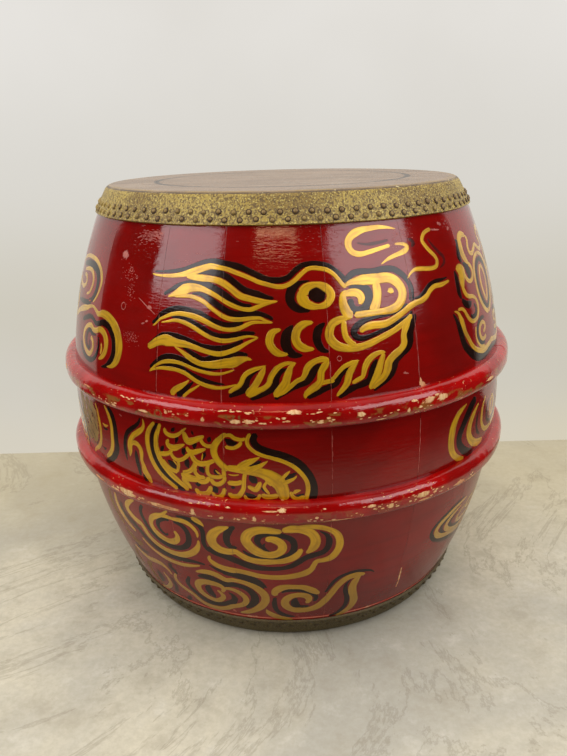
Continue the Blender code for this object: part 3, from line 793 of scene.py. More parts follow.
LEFT_CLOUDS = [
    gold((1, 7, 9.5, 9.5, 8, 5, 2.5, 5, 6, 5, 4), -46, 279.6, -44, 281.8, -42.4, 287, -41.6, 294,
         -41.5, 302, -42.1, 310, -43.4, 316.6, -45, 321, -47, 323.8, -49.4, 324.8, -51.4, 323.2, -53, 325.4,
         -55, 327.6, -57, 326.4, -59, 324, -62, 321.5, -65, 318.5, -68, 314, -71, 308),
    black((1, 6, 6.5, 6.5, 6, 5, 4, 5, 4), -48.6, 277.3, -46.2, 280.4, -44.6, 285.6, -43.6, 292.4,
          -43.4, 300, -43.9, 307.6, -45.2, 313, -46.8, 316.3, -48.8, 317.2, -50.6, 315.4, -52.4, 314.2,
          -54, 316.8, -56, 318, -59, 315, -62, 311),
    gold((2, 6, 7, 6, 5, 5, 4, 5, 5, 5, 4, 4), -49.8, 283.6, -48, 287.6, -46.9, 293.4, -46.6, 299.6,
         -47, 305, -48.2, 309.2, -50, 310.4, -51.6, 308.2, -53.4, 307.6, -55, 310.2, -57.2, 308.8,
         -59.2, 303.6, -60, 296.6, -59.4, 290, -57.6, 285.2, -55.4, 283.6, -53.8, 287.4, -53.2, 292.6,
         -53.6, 297.6, -54.8, 300),
    black((2, 4.5, 4.5, 5, 5, 4), -50.3, 303.6, -50, 296.6, -50.5, 290, -51.8, 283.8, -53.6, 279.6,
          -56, 278.2, -58.6, 279.8, -61, 284.4, -62, 291),
    black((1, 4, 4, 4, 4, 2), -51.6, 303.8, -54, 303.8, -55.6, 305.8, -57, 303, -57.7, 297, -57.3, 291.4,
          -56, 288.8, -55.2, 292, -55.7, 296.4),
    gold((2, 3, 2), -48.8, 299, -48.6, 294, -49, 288.4),
    gold((2, 3, 4.2, 4.2, 4, 3.6, 3.6, 3.6), -55.6, 331, -53.8, 337, -52.6, 344, -52.2, 351, -52.9, 357,
         -54.4, 362, -56.6, 365.8, -59, 367.8, -62, 368.4, -66, 368, -70, 365, -73, 360),
    black((4, 6, 7, 7, 6, 4), -59, 330.2, -56.6, 333, -55.2, 338, -54.4, 344, -54.4, 351, -55.2, 357,
          -57.2, 360.6, -60, 362.2, -64, 362.4, -69, 359.6),
    gold((2, 4, 4, 4, 3), -61.6, 335, -59.2, 338, -58, 343, -57.6, 349, -58.4, 354, -60.2, 357.2,
         -63, 357.4, -67, 355),
    black((4, 5, 5, 2), -57, 330, -60, 328.4, -64, 327, -69, 325.6),
    gold((2, 4, 4, 4, 3), -72, 346, -69, 341, -66, 339.6, -63.4, 343.6, -64, 349.6, -66.6, 351),
]

CRESCENTS = [
    gold((1, 6, 8, 9, 8, 7, 6, 3), 45.6, 236.6, 43.4, 233, 41.8, 228.4, 40.6, 221.4, 40.1, 213, 40, 205,
         40.5, 197, 41.6, 190.4, 43.4, 184.8, 46, 181),
    black((8, 10, 9, 9, 8, 8, 8, 8), 49.8, 238, 47.8, 232, 46, 224.4, 44.3, 216, 43.1, 208, 43.3, 200,
          44.6, 193.4, 46.4, 187.8, 48.6, 183.4, 50.5, 180),
    gold((2, 6, 8, 8, 8, 8, 5), 51.4, 230.4, 49.4, 224, 47.9, 217, 47.2, 210, 47.4, 203, 48.6, 196.4,
         50.4, 191.2, 53, 187.6, 56, 186),
    black((2, 4, 4, 4, 2), 51.8, 222, 51, 215, 51, 208, 51.6, 201.6, 53.4, 196),
    gold((2, 5, 5, 5, 5), 56, 232, 54.4, 224, 53.8, 215, 54.2, 206.6, 55.6, 199.6, 58, 194.6, 62, 192.6),
    black((2, 4, 4, 2), 58.6, 226, 57.4, 217, 57.6, 208.6, 59, 202, 62, 198.6),
    gold((2, 4, 4, 3), 62, 226, 60.6, 219, 60.4, 212, 61.2, 206, 62, 204),
]

FIN = [
    gold((1, 3.5, 5, 5, 5, 6.5, 6, 1), -33.6, 242.5, -33.4, 237, -34, 232.4, -35.4, 228, -37, 223.4,
         -38, 218, -38.5, 212, -38.6, 206, -38.9, 201),
    gold((2, 5, 5, 5, 4, 5, 8, 7, 3), -38, 213, -37.3, 216, -36.3, 216.6, -35.4, 214.6, -34.9, 211,
         -34.9, 206, -35, 201, -34.6, 196, -34.4, 191, -33.7, 187, -33, 182, -32.9, 180),
    black((2, 4, 4.5, 5, 5, 1), -34.3, 243, -34.9, 238, -36, 233.6, -37.6, 229, -39, 224, -39.9, 217,
          -40.3, 209, -40.3, 202, -40.1, 195),
    black((1, 5, 5, 5, 3), -36.6, 210.4, -36.6, 203, -36.5, 198, -36.2, 191, -36.1, 184.4),
    black((1, 6, 5, 1), -34.5, 188.6, -34.6, 185.4, -34.3, 181, -34.2, 179),
]

BODY = [
    gold((3, 5, 5, 5, 5, 4), -30.2, 242, -31.5, 236, -32.3, 230, -32.6, 223, -32.5, 216, -32.1, 209,
         -31.4, 202.5, -30.4, 196.5, -29, 191, -27.4, 186.5, -25.4, 181.6),
    black((3, 4.5, 4.5, 4.5, 5.5), -29.3, 242, -30.3, 236, -31, 230, -31.3, 223, -31.2, 216, -30.8, 209,
          -30, 202.5, -29, 197, -27.6, 191.5, -25.8, 186.4, -23.6, 181),
    gold((3, 5, 6, 6, 6, 4), -28.6, 242, -29.3, 235, -29.9, 229, -30.1, 222, -29.9, 215, -29.3, 208,
         -28.4, 202.5, -27.2, 197, -25.7, 192, -24, 187, -22.6, 182.6),
    gold((3, 3.5, 3.5, 4, 4), -7.9, 242, -8.6, 236, -8.4, 231, -7.4, 226.5, -5.8, 223, -3.8, 220.5,
         -1.8, 218, 0, 214.5, 1.5, 210, 2.7, 204.5, 3.6, 198, 3.9, 191, 3.7, 185, 3.3, 179),
    black((5, 7, 7, 7, 7), -6.6, 242, -7.3, 237, -6.9, 232, -5.6, 228, -3.6, 225, -1.2, 222, 0.9, 218,
          2.4, 213, 3.6, 207, 4.5, 200.5, 5, 193, 5.1, 186, 4.7, 179),
    gold((3, 5.5, 6, 6, 6), -13, 241, -14.2, 236.5, -15.4, 231, -15.9, 225, -15.6, 219, -14.8, 214,
         -13.7, 210, -12.8, 207.6),
    gold((5, 6, 5, 1), -11.6, 207.6, -10.2, 211.5, -9, 214.7, -7.6, 217.5, -6, 221),
    gold((5, 6, 4, 1), -9.2, 206, -7.8, 209.3, -6.2, 212.4, -4.4, 217.5),
    black((1, 2.5, 2.5, 1), -8.8, 209.6, -7.2, 213.2, -6.4, 215.4, -5.7, 218),
    gold((2, 3, 3, 1), -2.2, 198.6, -1.2, 202.6, -0.5, 205.6, 0.2, 208.4),
    gold((4, 4, 3, 1), -1.6, 195.6, 0, 198.8, 1, 201, 1.6, 203.6),
    black((1, 4, 4, 1), -1.1, 198.6, -0.4, 201, 0.5, 203.4, 1.4, 206.4),
    gold((5, 7, 8, 9, 11, 13, 11, 8), -13.3, 209.6, -10.6, 209, -8, 208, -5.6, 206, -3.6, 202, -2.2, 196.6,
         -1.5, 190, -1.2, 184, -1, 180),
    gold((3, 3, 4, 2), 0.2, 188.6, 0.6, 184, 1.6, 181, 3, 184),
    gold((2, 3, 2), -4.6, 199, -5.4, 193, -4.4, 187),
]

# The scales are cups of gold paint that run into one another, with a dark touch in each
SCALES = [
    gold((2.4, 4, 4.4, 3.6, 3, 2.4, 1), -27.5, 239, -27.3, 234.8, -26.1, 232.8, -24.9, 233.4, -23.9, 235.6,
         -22.7, 239.8, -22, 242),
    gold((3, 5.4, 6.4, 5.4, 4.6, 2), -22.7, 238.6, -22.3, 233, -21.7, 230, -20.3, 231.8, -18.8, 234.8,
         -17.9, 236.8),
    gold((3, 3.6, 3.6, 3.4), -18.9, 235, -18.3, 230, -17.2, 228, -15.8, 228.8),
    gold((2, 4.4, 6.4, 5.4, 3.6, 1.2), -26.6, 229.2, -27, 225.4, -26.4, 222.2, -25.3, 221.8, -24, 224,
         -22.6, 226.8),
    gold((3, 4.8, 5, 3.8, 1.4), -22.1, 225, -21.8, 221.5, -20.8, 220.4, -19.3, 222.6, -17.6, 225.2),
    gold((3.4, 4.6, 3.8, 3), -29.7, 213.4, -27.9, 214.2, -26.6, 216.4, -25.8, 220),
    gold((3, 4, 4, 3.6, 3.4, 2.6), -26.4, 217.4, -25.8, 213, -24.8, 210.8, -23.5, 212.2, -22.3, 216,
         -21.2, 220),
    gold((3.4, 4.8, 5.6, 5, 4.2, 3.6), -21.2, 221, -20.9, 216, -20.1, 212, -18.9, 210.8, -17.4, 212.4,
         -15.8, 215.6),
    gold((2.8, 2.8, 2.8, 3), -24.7, 211, -24.5, 206.4, -24.8, 202, -25, 198.6),
    gold((3, 3.8, 4, 4), -28.6, 208.6, -27.7, 203.6, -26.4, 200.2, -24.9, 198.8),
    gold((4.4, 4.4, 4.2, 4.6), -20.2, 211.4, -20.8, 206.6, -21.9, 202, -23.7, 198.8),
    gold((3.4, 3.8, 4.2, 3.6), -20.4, 207, -20.6, 202, -19.7, 198.2, -18.2, 198),
    gold((3.4, 3.4, 3.6, 3.8, 3.8, 3.2), -17.2, 213, -17.6, 208, -17.6, 203, -16.9, 200, -15.4, 199.8,
         -13.9, 201.6),
    gold((4, 8, 6.4, 4), -24.1, 198.4, -22.7, 195.6, -20.8, 195, -19.3, 195),
    gold((6, 6.4, 5, 2.4), -23.5, 196, -23.2, 191, -22.4, 187, -21.9, 184.6),
    gold((3.4, 4.8, 4.6, 4), -20.4, 198, -19.7, 193.6, -18.3, 194, -17.2, 199),
    gold((3.4, 4.6, 4.6, 3.8, 3.2), -17, 198, -16.4, 193.6, -15.2, 193.2, -14, 197.2, -13.8, 202),
    gold((4, 4.8, 4.6, 3.6), -13.3, 195.6, -12.2, 195.2, -10.8, 195.8, -10, 198.2),
    gold((1, 1.6, 1), -13, 203.6, -11.8, 203, -10.6, 203.8),
    gold((3.4, 4, 3.2), -14, 209, -13.9, 203.6, -14, 198),
    gold((3, 3.4, 3.6, 4, 4.4, 5, 4.8, 3.6), -9.2, 207, -9.5, 202, -9.7, 196.6, -9.8, 191.6, -10.3, 187,
         -11.1, 183, -12.4, 182.6, -13.2, 185.6),
    gold((3.6, 5, 5.4, 5, 4.6, 3.6), -20.8, 186, -20.3, 182.2, -19.3, 181, -18.1, 182.6, -17.4, 186.6,
         -17.1, 190.6),
    gold((3.2, 3.8, 4, 3.8, 3.6), -17, 184.8, -16.4, 181, -15.4, 180.5, -14.5, 183.6, -13.9, 190),
    gold((2.8, 3, 3, 3.2, 3), -9.7, 184.6, -9.3, 180.8, -8.1, 179.4, -6.9, 181.2, -6.3, 186),
    gold((3, 4.2, 5, 4.4, 3), -8.9, 193.6, -8.1, 191.4, -7.2, 190, -6.5, 194, -6.1, 198),
    gold((4, 5, 5, 5), -6, 186, -5.2, 183.6, -3.7, 183.6, -2.4, 185),
    gold((2.4, 2.8, 2), -5.6, 195, -5.1, 190.4, -4.3, 186),
    gold((2, 5, 5), -5, 203, -4.6, 199, -3.4, 195),
    gold((2.6, 3.2, 3.6, 3.2, 3), 0.2, 186.4, 0.7, 182.4, 2, 180.8, 3.3, 182.2, 3.8, 186),
    gold((3, 3.6, 1.2), 0.7, 186.4, 1.4, 188.6, 2.4, 189.4),
    gold((0.5, 1.4, 1), -18.4, 221, -18.6, 217.6, -18.8, 214),
    gold((1, 1.8, 1), -15.8, 206.6, -15.2, 204, -14.6, 203),
    gold((1, 1.6, 1), -25.9, 210, -25.2, 207, -24.9, 205),
    gold((2, 3.6, 3.6, 3.2, 2.4), -13.5, 238.6, -12.2, 239.6, -11.2, 237, -9.8, 236, -8.8, 237.4),
    gold((3, 3.4, 3.4, 3), -13.4, 229, -11.7, 228.2, -10.3, 231, -9.8, 234.6),
    black((1, 6, 5, 1), -13.3, 236.4, -12.4, 233.4, -11.4, 232.6, -10.6, 233.6),
    black((1, 3.5, 2), -24.9, 241, -25.3, 238.6, -25.9, 236.5),
    black((1, 2.5, 1), -20.8, 240.5, -20.6, 238, -20.4, 236),
    black((1, 4, 3), -16.5, 237, -16.8, 234, -17, 231.4),
    black((1, 4, 3, 1), -28, 222, -28.5, 219, -28.6, 216.4, -28, 215),
    black((1, 3.5, 3, 1), -24.2, 234, -24.5, 230.6, -24.8, 227, -24.9, 226),
    black((1, 4, 4, 1), -19.9, 231.4, -20.2, 228, -20.4, 225, -20.4, 223.6),
    black((1, 4.4, 4, 1), -22.5, 223.6, -23, 220.6, -23, 217.6, -22.6, 216.6),
    black((1, 4, 3, 1), -17.8, 222.4, -18.2, 219, -18.6, 215.5, -18.6, 214.6),
    black((1, 5, 6, 1), -27.3, 209, -26.4, 206.6, -25.5, 203, -25.3, 201.4),
    black((1, 5, 5, 1), -21.9, 213.4, -22.4, 209.6, -22.2, 206, -22, 204.8),
    black((1, 5, 5, 1), -19.8, 206.4, -19, 205.4, -18.6, 203, -18.6, 202),
    black((1, 4.6, 4.6, 1), -15.9, 208, -15.7, 205, -15.3, 202.6, -15.2, 201.6),
    black((1, 4.4, 1), -20.8, 190.8, -20.1, 190, -19.4, 190.4),
    black((1, 6, 6, 1), -16.3, 191, -16.2, 188, -15.9, 185.4, -15.6, 184.4),
    black((1, 3.4, 1), -12.6, 192, -12.2, 191, -11.6, 191.4),
    black((1, 6, 7, 1), -8.4, 204, -8, 201.4, -7.2, 198, -6.8, 196.4),
    black((1, 4.4, 4.6, 1), -9.5, 187, -8.8, 184.4, -7.4, 182.6, -6.8, 183.4),
    black((1, 3.6, 3, 1), -6.1, 192, -5.6, 190.6, -5, 188.4, -4.6, 187.4),
    black((0.5, 1.6, 1), -4.6, 199, -3.4, 194, -2.6, 188),
    black((1, 3.2, 1), 1.1, 184.4, 2.2, 184.4, 3.1, 186),
    black((1, 2.2, 1), -8.8, 211, -7.4, 214, -6.1, 218),
    black((1, 3.6, 3, 1), -0.8, 200.6, 0, 203, 1, 205, 1.6, 206),
]

LEFT_BODY = [
    gold((2, 4.5, 5, 5, 5, 5, 3), -47.6, 242, -46.4, 237, -45.5, 231, -45, 224, -45.1, 215, -45.3, 207,
         -46.1, 199, -47.4, 193, -49.2, 187.6),
    black((4, 6.5, 6.5, 7, 7, 6, 4), -46.2, 242, -44.6, 237, -43.8, 230, -43.5, 221, -43.6, 211, -43.6, 204,
          -44.5, 197, -46, 191, -48.4, 184.6, -50, 181),
    gold((2, 4.5, 4.5, 4.5, 3), -52.2, 239, -51.1, 231, -50.6, 223, -50.4, 214, -50.7, 206, -51.5, 199,
         -53, 193, -55.5, 187, -57, 182),
    gold((1, 3, 1), -49, 222.6, -47.8, 221.4, -46.4, 223),
    black((1, 3, 1), -49, 218.6, -47.8, 218, -46.6, 219),
    black((1, 3, 1), -50.4, 197.4, -49.6, 195.4, -48.6, 197),
    black((0.5, 1.6, 1), -55.6, 232, -54.6, 226, -53.4, 221),
    black((0.5, 1.8, 1), -58.4, 223, -57, 217, -55.4, 213),
    black((0.5, 1.6, 1), -56.6, 207, -55, 203, -54.4, 197),
    black((0.5, 2, 1), -61.4, 216, -60, 211, -58.4, 206),
    black((0.5, 1.6, 1), -53.8, 218, -53, 213, -52.2, 210),
    black((0.5, 1.8, 1), -64, 229, -62, 225, -61, 219),
    black((0.5, 1.4, 1), -57.4, 235, -56.6, 230, -55.4, 227),
    black((0.5, 1.6, 1), -60, 204, -58, 201, -56.6, 197),
    black((0.5, 1.4, 1), -52.6, 204, -53, 199, -54.6, 193),
]

# Thin, worn gold washed over the belly and beside the low clouds, at the left
LEFT_WASH = [
    gold((6, 12, 13, 12, 7), -55.4, 238, -53.6, 228, -53.2, 216, -53.6, 206, -56, 196),
    gold((7, 15, 16, 15, 8), -58.8, 238, -57, 228, -56.6, 216, -57, 206, -59.4, 195),
    gold((7, 16, 18, 16, 8), -63.6, 238, -61.6, 228, -61, 216, -61.6, 206, -64, 194),
    gold((4, 7, 7, 7, 5), -43.6, 68, -45.8, 62, -46.4, 52, -45.4, 42, -43, 35),
    gold((3, 7, 8, 6), -50.6, 104, -48.4, 96, -46, 92, -43.6, 94),
    gold((4, 9, 9, 6), -53, 146, -54, 132, -52.6, 118, -50, 108),
    gold((3, 6, 6, 4), -50, 78, -51, 66, -50, 52),
]

CLOUD_A = [
    gold((3, 6, 7, 7, 7, 6, 6, 6, 4, 2), -28.8, 132.6, -28.2, 127, -28.7, 121.4, -30.4, 117.4, -32.4, 117.4,
         -34.6, 120.6, -35.9, 126, -36.2, 132.6, -35.3, 139.4, -33.5, 144, -31.6, 147.6, -30.6, 151,
         -29.6, 154),
    gold((3, 4.5, 4.5, 3), -33.4, 144.6, -31.6, 146.6, -30, 147, -28.4, 146.6),
    gold((3, 5, 5, 4, 2), -29, 146.4, -27, 146.8, -25.2, 146.8, -23.8, 144.2, -22.8, 140.4, -22.3, 136,
         -22.4, 131),
    gold((2, 6, 7, 6.5, 6.5, 6, 6, 6, 7, 7, 6, 2), -22.3, 128, -22.6, 121.4, -23.7, 114.6, -25.4, 108.8,
         -27.6, 104.4, -30, 102.6, -33, 102.6, -35.6, 104.8, -37.7, 109, -39.1, 114.4, -39.8, 120,
         -40.6, 124.4, -42.4, 126.4, -44, 130, -45, 135, -44.8, 140, -43.6, 145, -42, 149, -41, 151),
    black((2, 5, 5, 4, 2), -29.6, 143.6, -31.6, 142.6, -33.2, 138.6, -33.8, 132.8, -33.2, 127, -31.8, 124,
          -31, 126.6),
    black((2, 6, 6, 6, 6, 6, 6, 6, 5, 4), -28.6, 143.4, -26.4, 141.6, -25.2, 136.4, -24.9, 129,
          -25.4, 121.4, -26.8, 115.4, -29, 111.6, -31.6, 110.8, -34, 112.4, -36, 116.6, -37.6, 122.6,
          -38.6, 130, -39.2, 137.4, -39, 144, -38, 149.6),
    black((2, 5, 5, 5, 4), -27.4, 151, -25, 151, -23, 149.4, -21.6, 146, -20.8, 141, -20.8, 134, -21, 127,
          -20.6, 121, -19.6, 116.6),
    gold((4, 6, 5, 1), -23.2, 153.4, -21.6, 150.6, -20.6, 147.6, -20.2, 145.6),
    gold((2, 4.5, 5, 5, 4, 3), -23.6, 94.8, -26, 92, -29, 89.6, -33, 89, -36.6, 91, -39.2, 94.6, -41, 99,
         -42.4, 104),
    black((2, 6, 7, 6, 6, 5), -22, 98, -25, 98.6, -28, 97.6, -32, 96.6, -35.6, 98, -38.4, 102, -40.6, 107.4,
          -42, 113, -44, 119, -46.6, 124, -48, 131, -47.6, 140),
    gold((4, 7, 8, 6, 3), -44.6, 108, -47.4, 115, -49.4, 125, -50.2, 136, -49.6, 147),
]

CLOUD_B = [
    gold((5, 8, 8, 8, 8, 9.5, 10, 9.5, 8.5, 8, 7, 5), -5.8, 136.8, -4.6, 138.4, -3.2, 136.6, -2.2, 132.8,
         -2, 127.6, -2.8, 122.8, -4.4, 120, -6.4, 120.6, -8.2, 124, -9.5, 129, -10.3, 135, -10.1, 140.6,
         -9, 145.4, -7.2, 148, -5.2, 148.2, -3.6, 147.2, -2, 146.6),
    gold((5, 8, 8, 9, 9, 9, 8, 3), -2, 147.8, 0, 149.4, 2, 149, 4, 146, 5.2, 141, 5.6, 135, 5.3, 129.4,
         4.4, 124.6, 3.4, 121.8),
    gold((2, 5, 5, 5, 6, 7, 7, 7, 5, 5, 7, 7, 6, 6, 6, 6, 6, 7, 7, 6, 2), 1, 151.6, 4, 151.6, 7, 149.6,
         9.2, 145.4, 10.6, 140, 11.2, 133, 11.2, 126, 10.6, 119.6, 9.4, 114, 7.6, 111.6, 6, 110.6, 5.3, 106,
         4.7, 101, 3.2, 96.4, 0.8, 93.4, -2, 91.6, -5, 91.4, -8, 92.6, -10.6, 95.2, -13, 97, -15.6, 97.2,
         -18.2, 99.6, -19.8, 103.6, -20.4, 107.6, -20, 111.6),
    gold((4, 7, 7, 6, 7, 7, 7, 6, 8, 9.5, 10, 9, 7, 2), 2.4, 127, 1.6, 121, 0.2, 116, -2, 112.6, -5, 111.4,
         -8, 111.6, -10.4, 114, -12, 118, -13.2, 121.4, -15, 120.4, -17, 121.6, -18.4, 126, -18.8, 132,
         -18.2, 138.4, -16.8, 144, -15.2, 147.4, -14, 149.4),
    black((2, 6, 6, 6, 6, 6, 6, 6, 5, 2), -6, 125, -7, 130, -7.7, 135.4, -7.2, 141, -5.6, 144.4,
          -3.6, 143.6, -1.4, 141.4, 0.2, 137.4, 0.7, 131.6, 0.5, 125, -0.6, 119.6, -2.6, 116.2, -5.2, 115.4,
          -7.8, 116.4, -10, 119.4, -11.4, 124),
    black((1, 3.5, 3.5, 1), -6, 133.6, -6.4, 129, -5.6, 124.4, -4.2, 122.8),
    black((3, 7, 7, 6, 3), -12.6, 150.4, -14, 145.6, -14.8, 139, -14.9, 132, -14.2, 127, -12.6, 126.4),
    black((1, 6, 6, 6, 6, 5, 6, 8, 8, 7, 6), 6.4, 146, 8, 141.6, 8.7, 135, 8.5, 127.4, 7.4, 121.6,
          5.2, 118.6, 3.4, 116, 1.8, 111.4, 0, 106.4, -2.4, 103.4, -5.4, 102.6, -8.4, 103.6, -11, 106.4,
          -13.4, 110.6, -16, 114.2, -18.6, 117, -20.4, 121.6),
    black((1, 5, 6, 6, 5, 2), -21, 99, -18.6, 94.4, -15.4, 92.4, -12, 91.4, -9.4, 87.6, -7.6, 82, -6.6, 76),
]

CLOUD_C = [
    gold((3, 6, 7, 7.5, 7.5, 7, 6, 6, 5, 3), -19.2, 62.4, -18.5, 67.4, -19.2, 71.4, -21, 73, -23.2, 72.8,
         -25.2, 70.4, -26.4, 65.4, -26.6, 59.4, -26, 53.6, -24.6, 49, -22.8, 46.4, -21.2, 47.4, -19.9, 51.4,
         -19.2, 56, -19.8, 61, -20.6, 64),
    gold((3, 5, 6, 6, 6, 6, 6, 6, 6, 5, 3), -18.6, 66.6, -17.4, 69.4, -15.6, 69, -13.9, 65.4, -12.8, 60,
         -12.7, 54, -13.6, 48.6, -15.4, 44.6, -17.4, 41.4, -19.2, 37, -21.4, 33.8, -24.2, 32.8, -26.8, 34.8,
         -28.6, 39.6, -29.8, 45, -31.6, 48.6, -33.4, 52.6, -34.4, 58, -34.4, 64, -33.4, 70),
    black((1, 8, 9, 8, 1), -22.6, 69, -23.2, 64, -23, 58, -22.4, 53.6, -22, 50),
    black((1, 7, 7, 6, 7, 7, 6, 6, 5, 3), -17.4, 64, -16.2, 60, -16, 54.4, -16.8, 49.4, -19, 44.6,
          -21.6, 40.8, -24.8, 40.4, -26.8, 44.4, -28.2, 50, -29.6, 56, -30, 63, -29, 70, -28.6, 74),
    gold((2, 6, 7, 7, 6, 5, 6, 7, 8, 8, 8, 8, 7, 6, 2), -25.6, 84.6, -23.6, 87, -21.4, 88, -19.4, 86.6,
         -17.8, 83.2, -16.8, 82, -15, 83.4, -12.8, 82.4, -10.6, 79, -8.8, 74, -7.5, 67, -7.2, 60,
         -7.8, 52.6, -9.2, 45.6, -11, 40, -13, 36, -15.4, 33),
    black((3, 8, 8, 8, 7, 6, 7, 8, 8, 7, 3), -25.4, 78.4, -23.6, 80.4, -21.4, 80.4, -19.6, 77.4,
          -17.8, 75.6, -15.4, 77, -13, 75.4, -11.2, 71, -10.2, 64, -10.2, 56, -11.4, 48.6, -13.2, 42.4),
    black((2, 6, 6, 3), -17.6, 90.6, -14, 89.6, -11, 86.4, -8.6, 80.4, -7.2, 75),
    gold((3, 6, 7, 6, 3), -49.4, 82, -46.4, 76, -43.4, 74, -40.4, 76, -37.8, 75.6, -36.2, 71.4, -35.4, 65),
    black((1, 4, 4, 1), -48.4, 90, -46.6, 84, -44.4, 82, -42, 84),
    gold((2, 5, 5, 5, 4), -39.4, 62.4, -38.4, 54.4, -38.6, 46, -40, 40, -42, 34, -45, 30),
    black((2, 5, 5, 4), -36.8, 60.4, -36.2, 50.4, -36.7, 42, -37.8, 35),
    black((2, 9, 9, 2), -42.4, 61, -42, 51, -43.2, 41),
    black((2, 6, 6, 3), -33.8, 84, -34.6, 79, -33.4, 74, -33, 70),
    black((2, 5, 4), -31.6, 40, -32.6, 34, -34, 30),
]

CLOUD_D = [
    gold((4, 7, 7, 7, 8, 8, 8, 8, 8, 8, 8, 7.5, 7, 7, 7, 7, 3), 3.7, 53, 4.4, 57.4, 4.2, 62, 3, 65.4, 1, 66,
         -0.8, 63.2, -1.9, 58, -2, 52, -1.2, 46.6, 0.4, 43, 2.6, 42.2, 4.8, 43, 6.8, 46.6, 8.2, 52,
         9.4, 58.4, 10.4, 65, 11.3, 71.6, 12.4, 77.6, 13.8, 82.4, 15.4, 84.8, 17.2, 85, 19, 84),
    gold((4, 8, 8, 8, 8, 8, 7, 6, 3), 17.6, 84, 16.7, 78, 16.1, 70, 16.3, 62, 17, 54, 17.4, 46, 17, 38.6,
         15.9, 33, 14.3, 29, 12.8, 26.6),
    black((1, 4, 5, 5, 5, 5, 3), 15.2, 80.4, 14.1, 74, 14.2, 66, 14.8, 58, 15.2, 50, 15, 42, 14, 35,
          12.6, 30, 10.6, 27.6),
    black((2, 4, 4, 4, 4, 1), 8.6, 67, 9.8, 76, 10.8, 82, 12.4, 87, 15, 90, 18, 89.4, 20.4, 87, 21.6, 83.4),
    gold((6, 8, 8, 6, 6, 7, 8, 4), -4.6, 65, -4.5, 70.6, -3.4, 75.4, -1.6, 78, 0.6, 78, 2.8, 77, 4.6, 73.4,
         6.2, 69, 7, 66),
    black((2, 5, 5, 5, 5, 3), -2.9, 69.6, -1.4, 72.8, 1, 73.6, 3.4, 71.4, 5.4, 67, 6.3, 61, 5.8, 55),
    black((2, 8, 9, 6, 2), 1, 62, 0.6, 57, 0.8, 51, 2, 47.4, 4.6, 48.4),
    black((3, 5, 5, 5, 5, 2), -4.6, 63, -4.9, 56, -4.9, 49, -4.5, 42.4, -3.4, 37, -1.6, 33.4, 0.6, 31.6),
    gold((1, 6, 7, 6, 5, 2), -7.4, 43, -7, 38.4, -5.8, 34, -4.2, 31, -2.2, 28.6, 0, 27),
]

LOW_CRESCENTS = [
    gold((2, 5, 6, 6, 5, 4, 3), 54, 124, 50, 123.4, 47, 120.8, 44.2, 117, 41.8, 112.4, 40.8, 107,
         41.2, 101.6, 42.6, 96.6, 45, 92.4, 48, 89, 51, 86, 54, 82.6, 58, 80, 62, 79),
    black((2, 4, 5, 6, 6, 5, 3), 52, 128, 48, 127, 44, 122.4, 41, 117, 39.2, 111.4, 38.9, 104.6, 40.2, 98,
          42.2, 92.4, 45, 87.4, 48, 83.4, 51, 79.6, 55, 75.6, 62, 72.6),
    black((1, 5, 5, 5, 1), 48.6, 119, 45.4, 115, 43.2, 109.6, 43, 103.6, 44.2, 98.6, 46, 95),
    gold((1, 6, 6, 5, 3), 51.6, 119, 48, 115.4, 45.8, 110, 45.2, 104, 46.4, 98.4, 48.6, 93.6, 51.6, 89.6,
         55, 87, 60, 85.6),
    black((1, 5, 5, 4), 50.4, 112.4, 47.8, 108.6, 47.2, 103.6, 48.4, 98.6, 51, 94.4, 55, 91.6),
    gold((2, 5, 5, 4), 55, 112, 52, 108.6, 51, 103.6, 52, 99, 55, 96, 59, 95.6, 62, 97.6),
    gold((2, 4, 4, 4), 62, 116, 58, 115, 56, 110.6, 57.4, 106, 60, 105, 62, 106),
]


def widened(strokes, gold_share, black_share):
    """The same strokes with a fuller brush."""
    shares = {"gold": gold_share, "black": black_share}
    return [(colour, [width * shares[colour] for width in widths], points)
            for colour, widths, points in strokes]


def moved(strokes, turn, lift=0.0):
    """The same strokes turned round the drum and lifted."""
    return [(colour, widths, [(azimuth + turn, height + lift) for azimuth, height in points])
            for colour, widths, points in strokes]


def mirrored(strokes):
    """The same strokes mirrored at the flaming pearl."""
    return [(colour, widths, [(2 * PEARL_AZIMUTH - azimuth, height) for azimuth, height in points])
            for colour, widths, points in strokes]


def whole_decoration():
    """The front as painted, mirrored at the flaming pearl, with clouds and scales to fill the back."""
    front = widened(MANE, 1.15, 1.25) + widened(BEARD, 0.93, 1.15) + FACE + LEFT_CLOUDS + LEFT_BODY
    front += FIN + BODY + SCALES + CLOUD_A + CLOUD_B + CLOUD_C + CLOUD_D
    shared = FLAME + CRESCENTS + LOW_CRESCENTS
    back = moved(CLOUD_B, -82, 196) + moved(CLOUD_A, -59, 184)
    back += moved(CLOUD_B + CLOUD_D, -85) + moved(CLOUD_C, -72)
    back += moved(BODY + SCALES + FIN, -66)
    half = front + shared + back
    return half + mirrored(half)


# Shares of a stroke's half width across it, and of its thickness there
ACROSS = np.array([-1, -0.97, -0.9, -0.45, 0, 0.45, 0.9, 0.97, 1])
PROFILE = np.array([0, 0.8, 1, 1, 1, 1, 1, 0.8, 0])


def degree_length(height):
    """Millimetres to a degree on the wood, at heights in millimetres."""
    return wood_radius(height * MM) * math.pi / 180 / MM


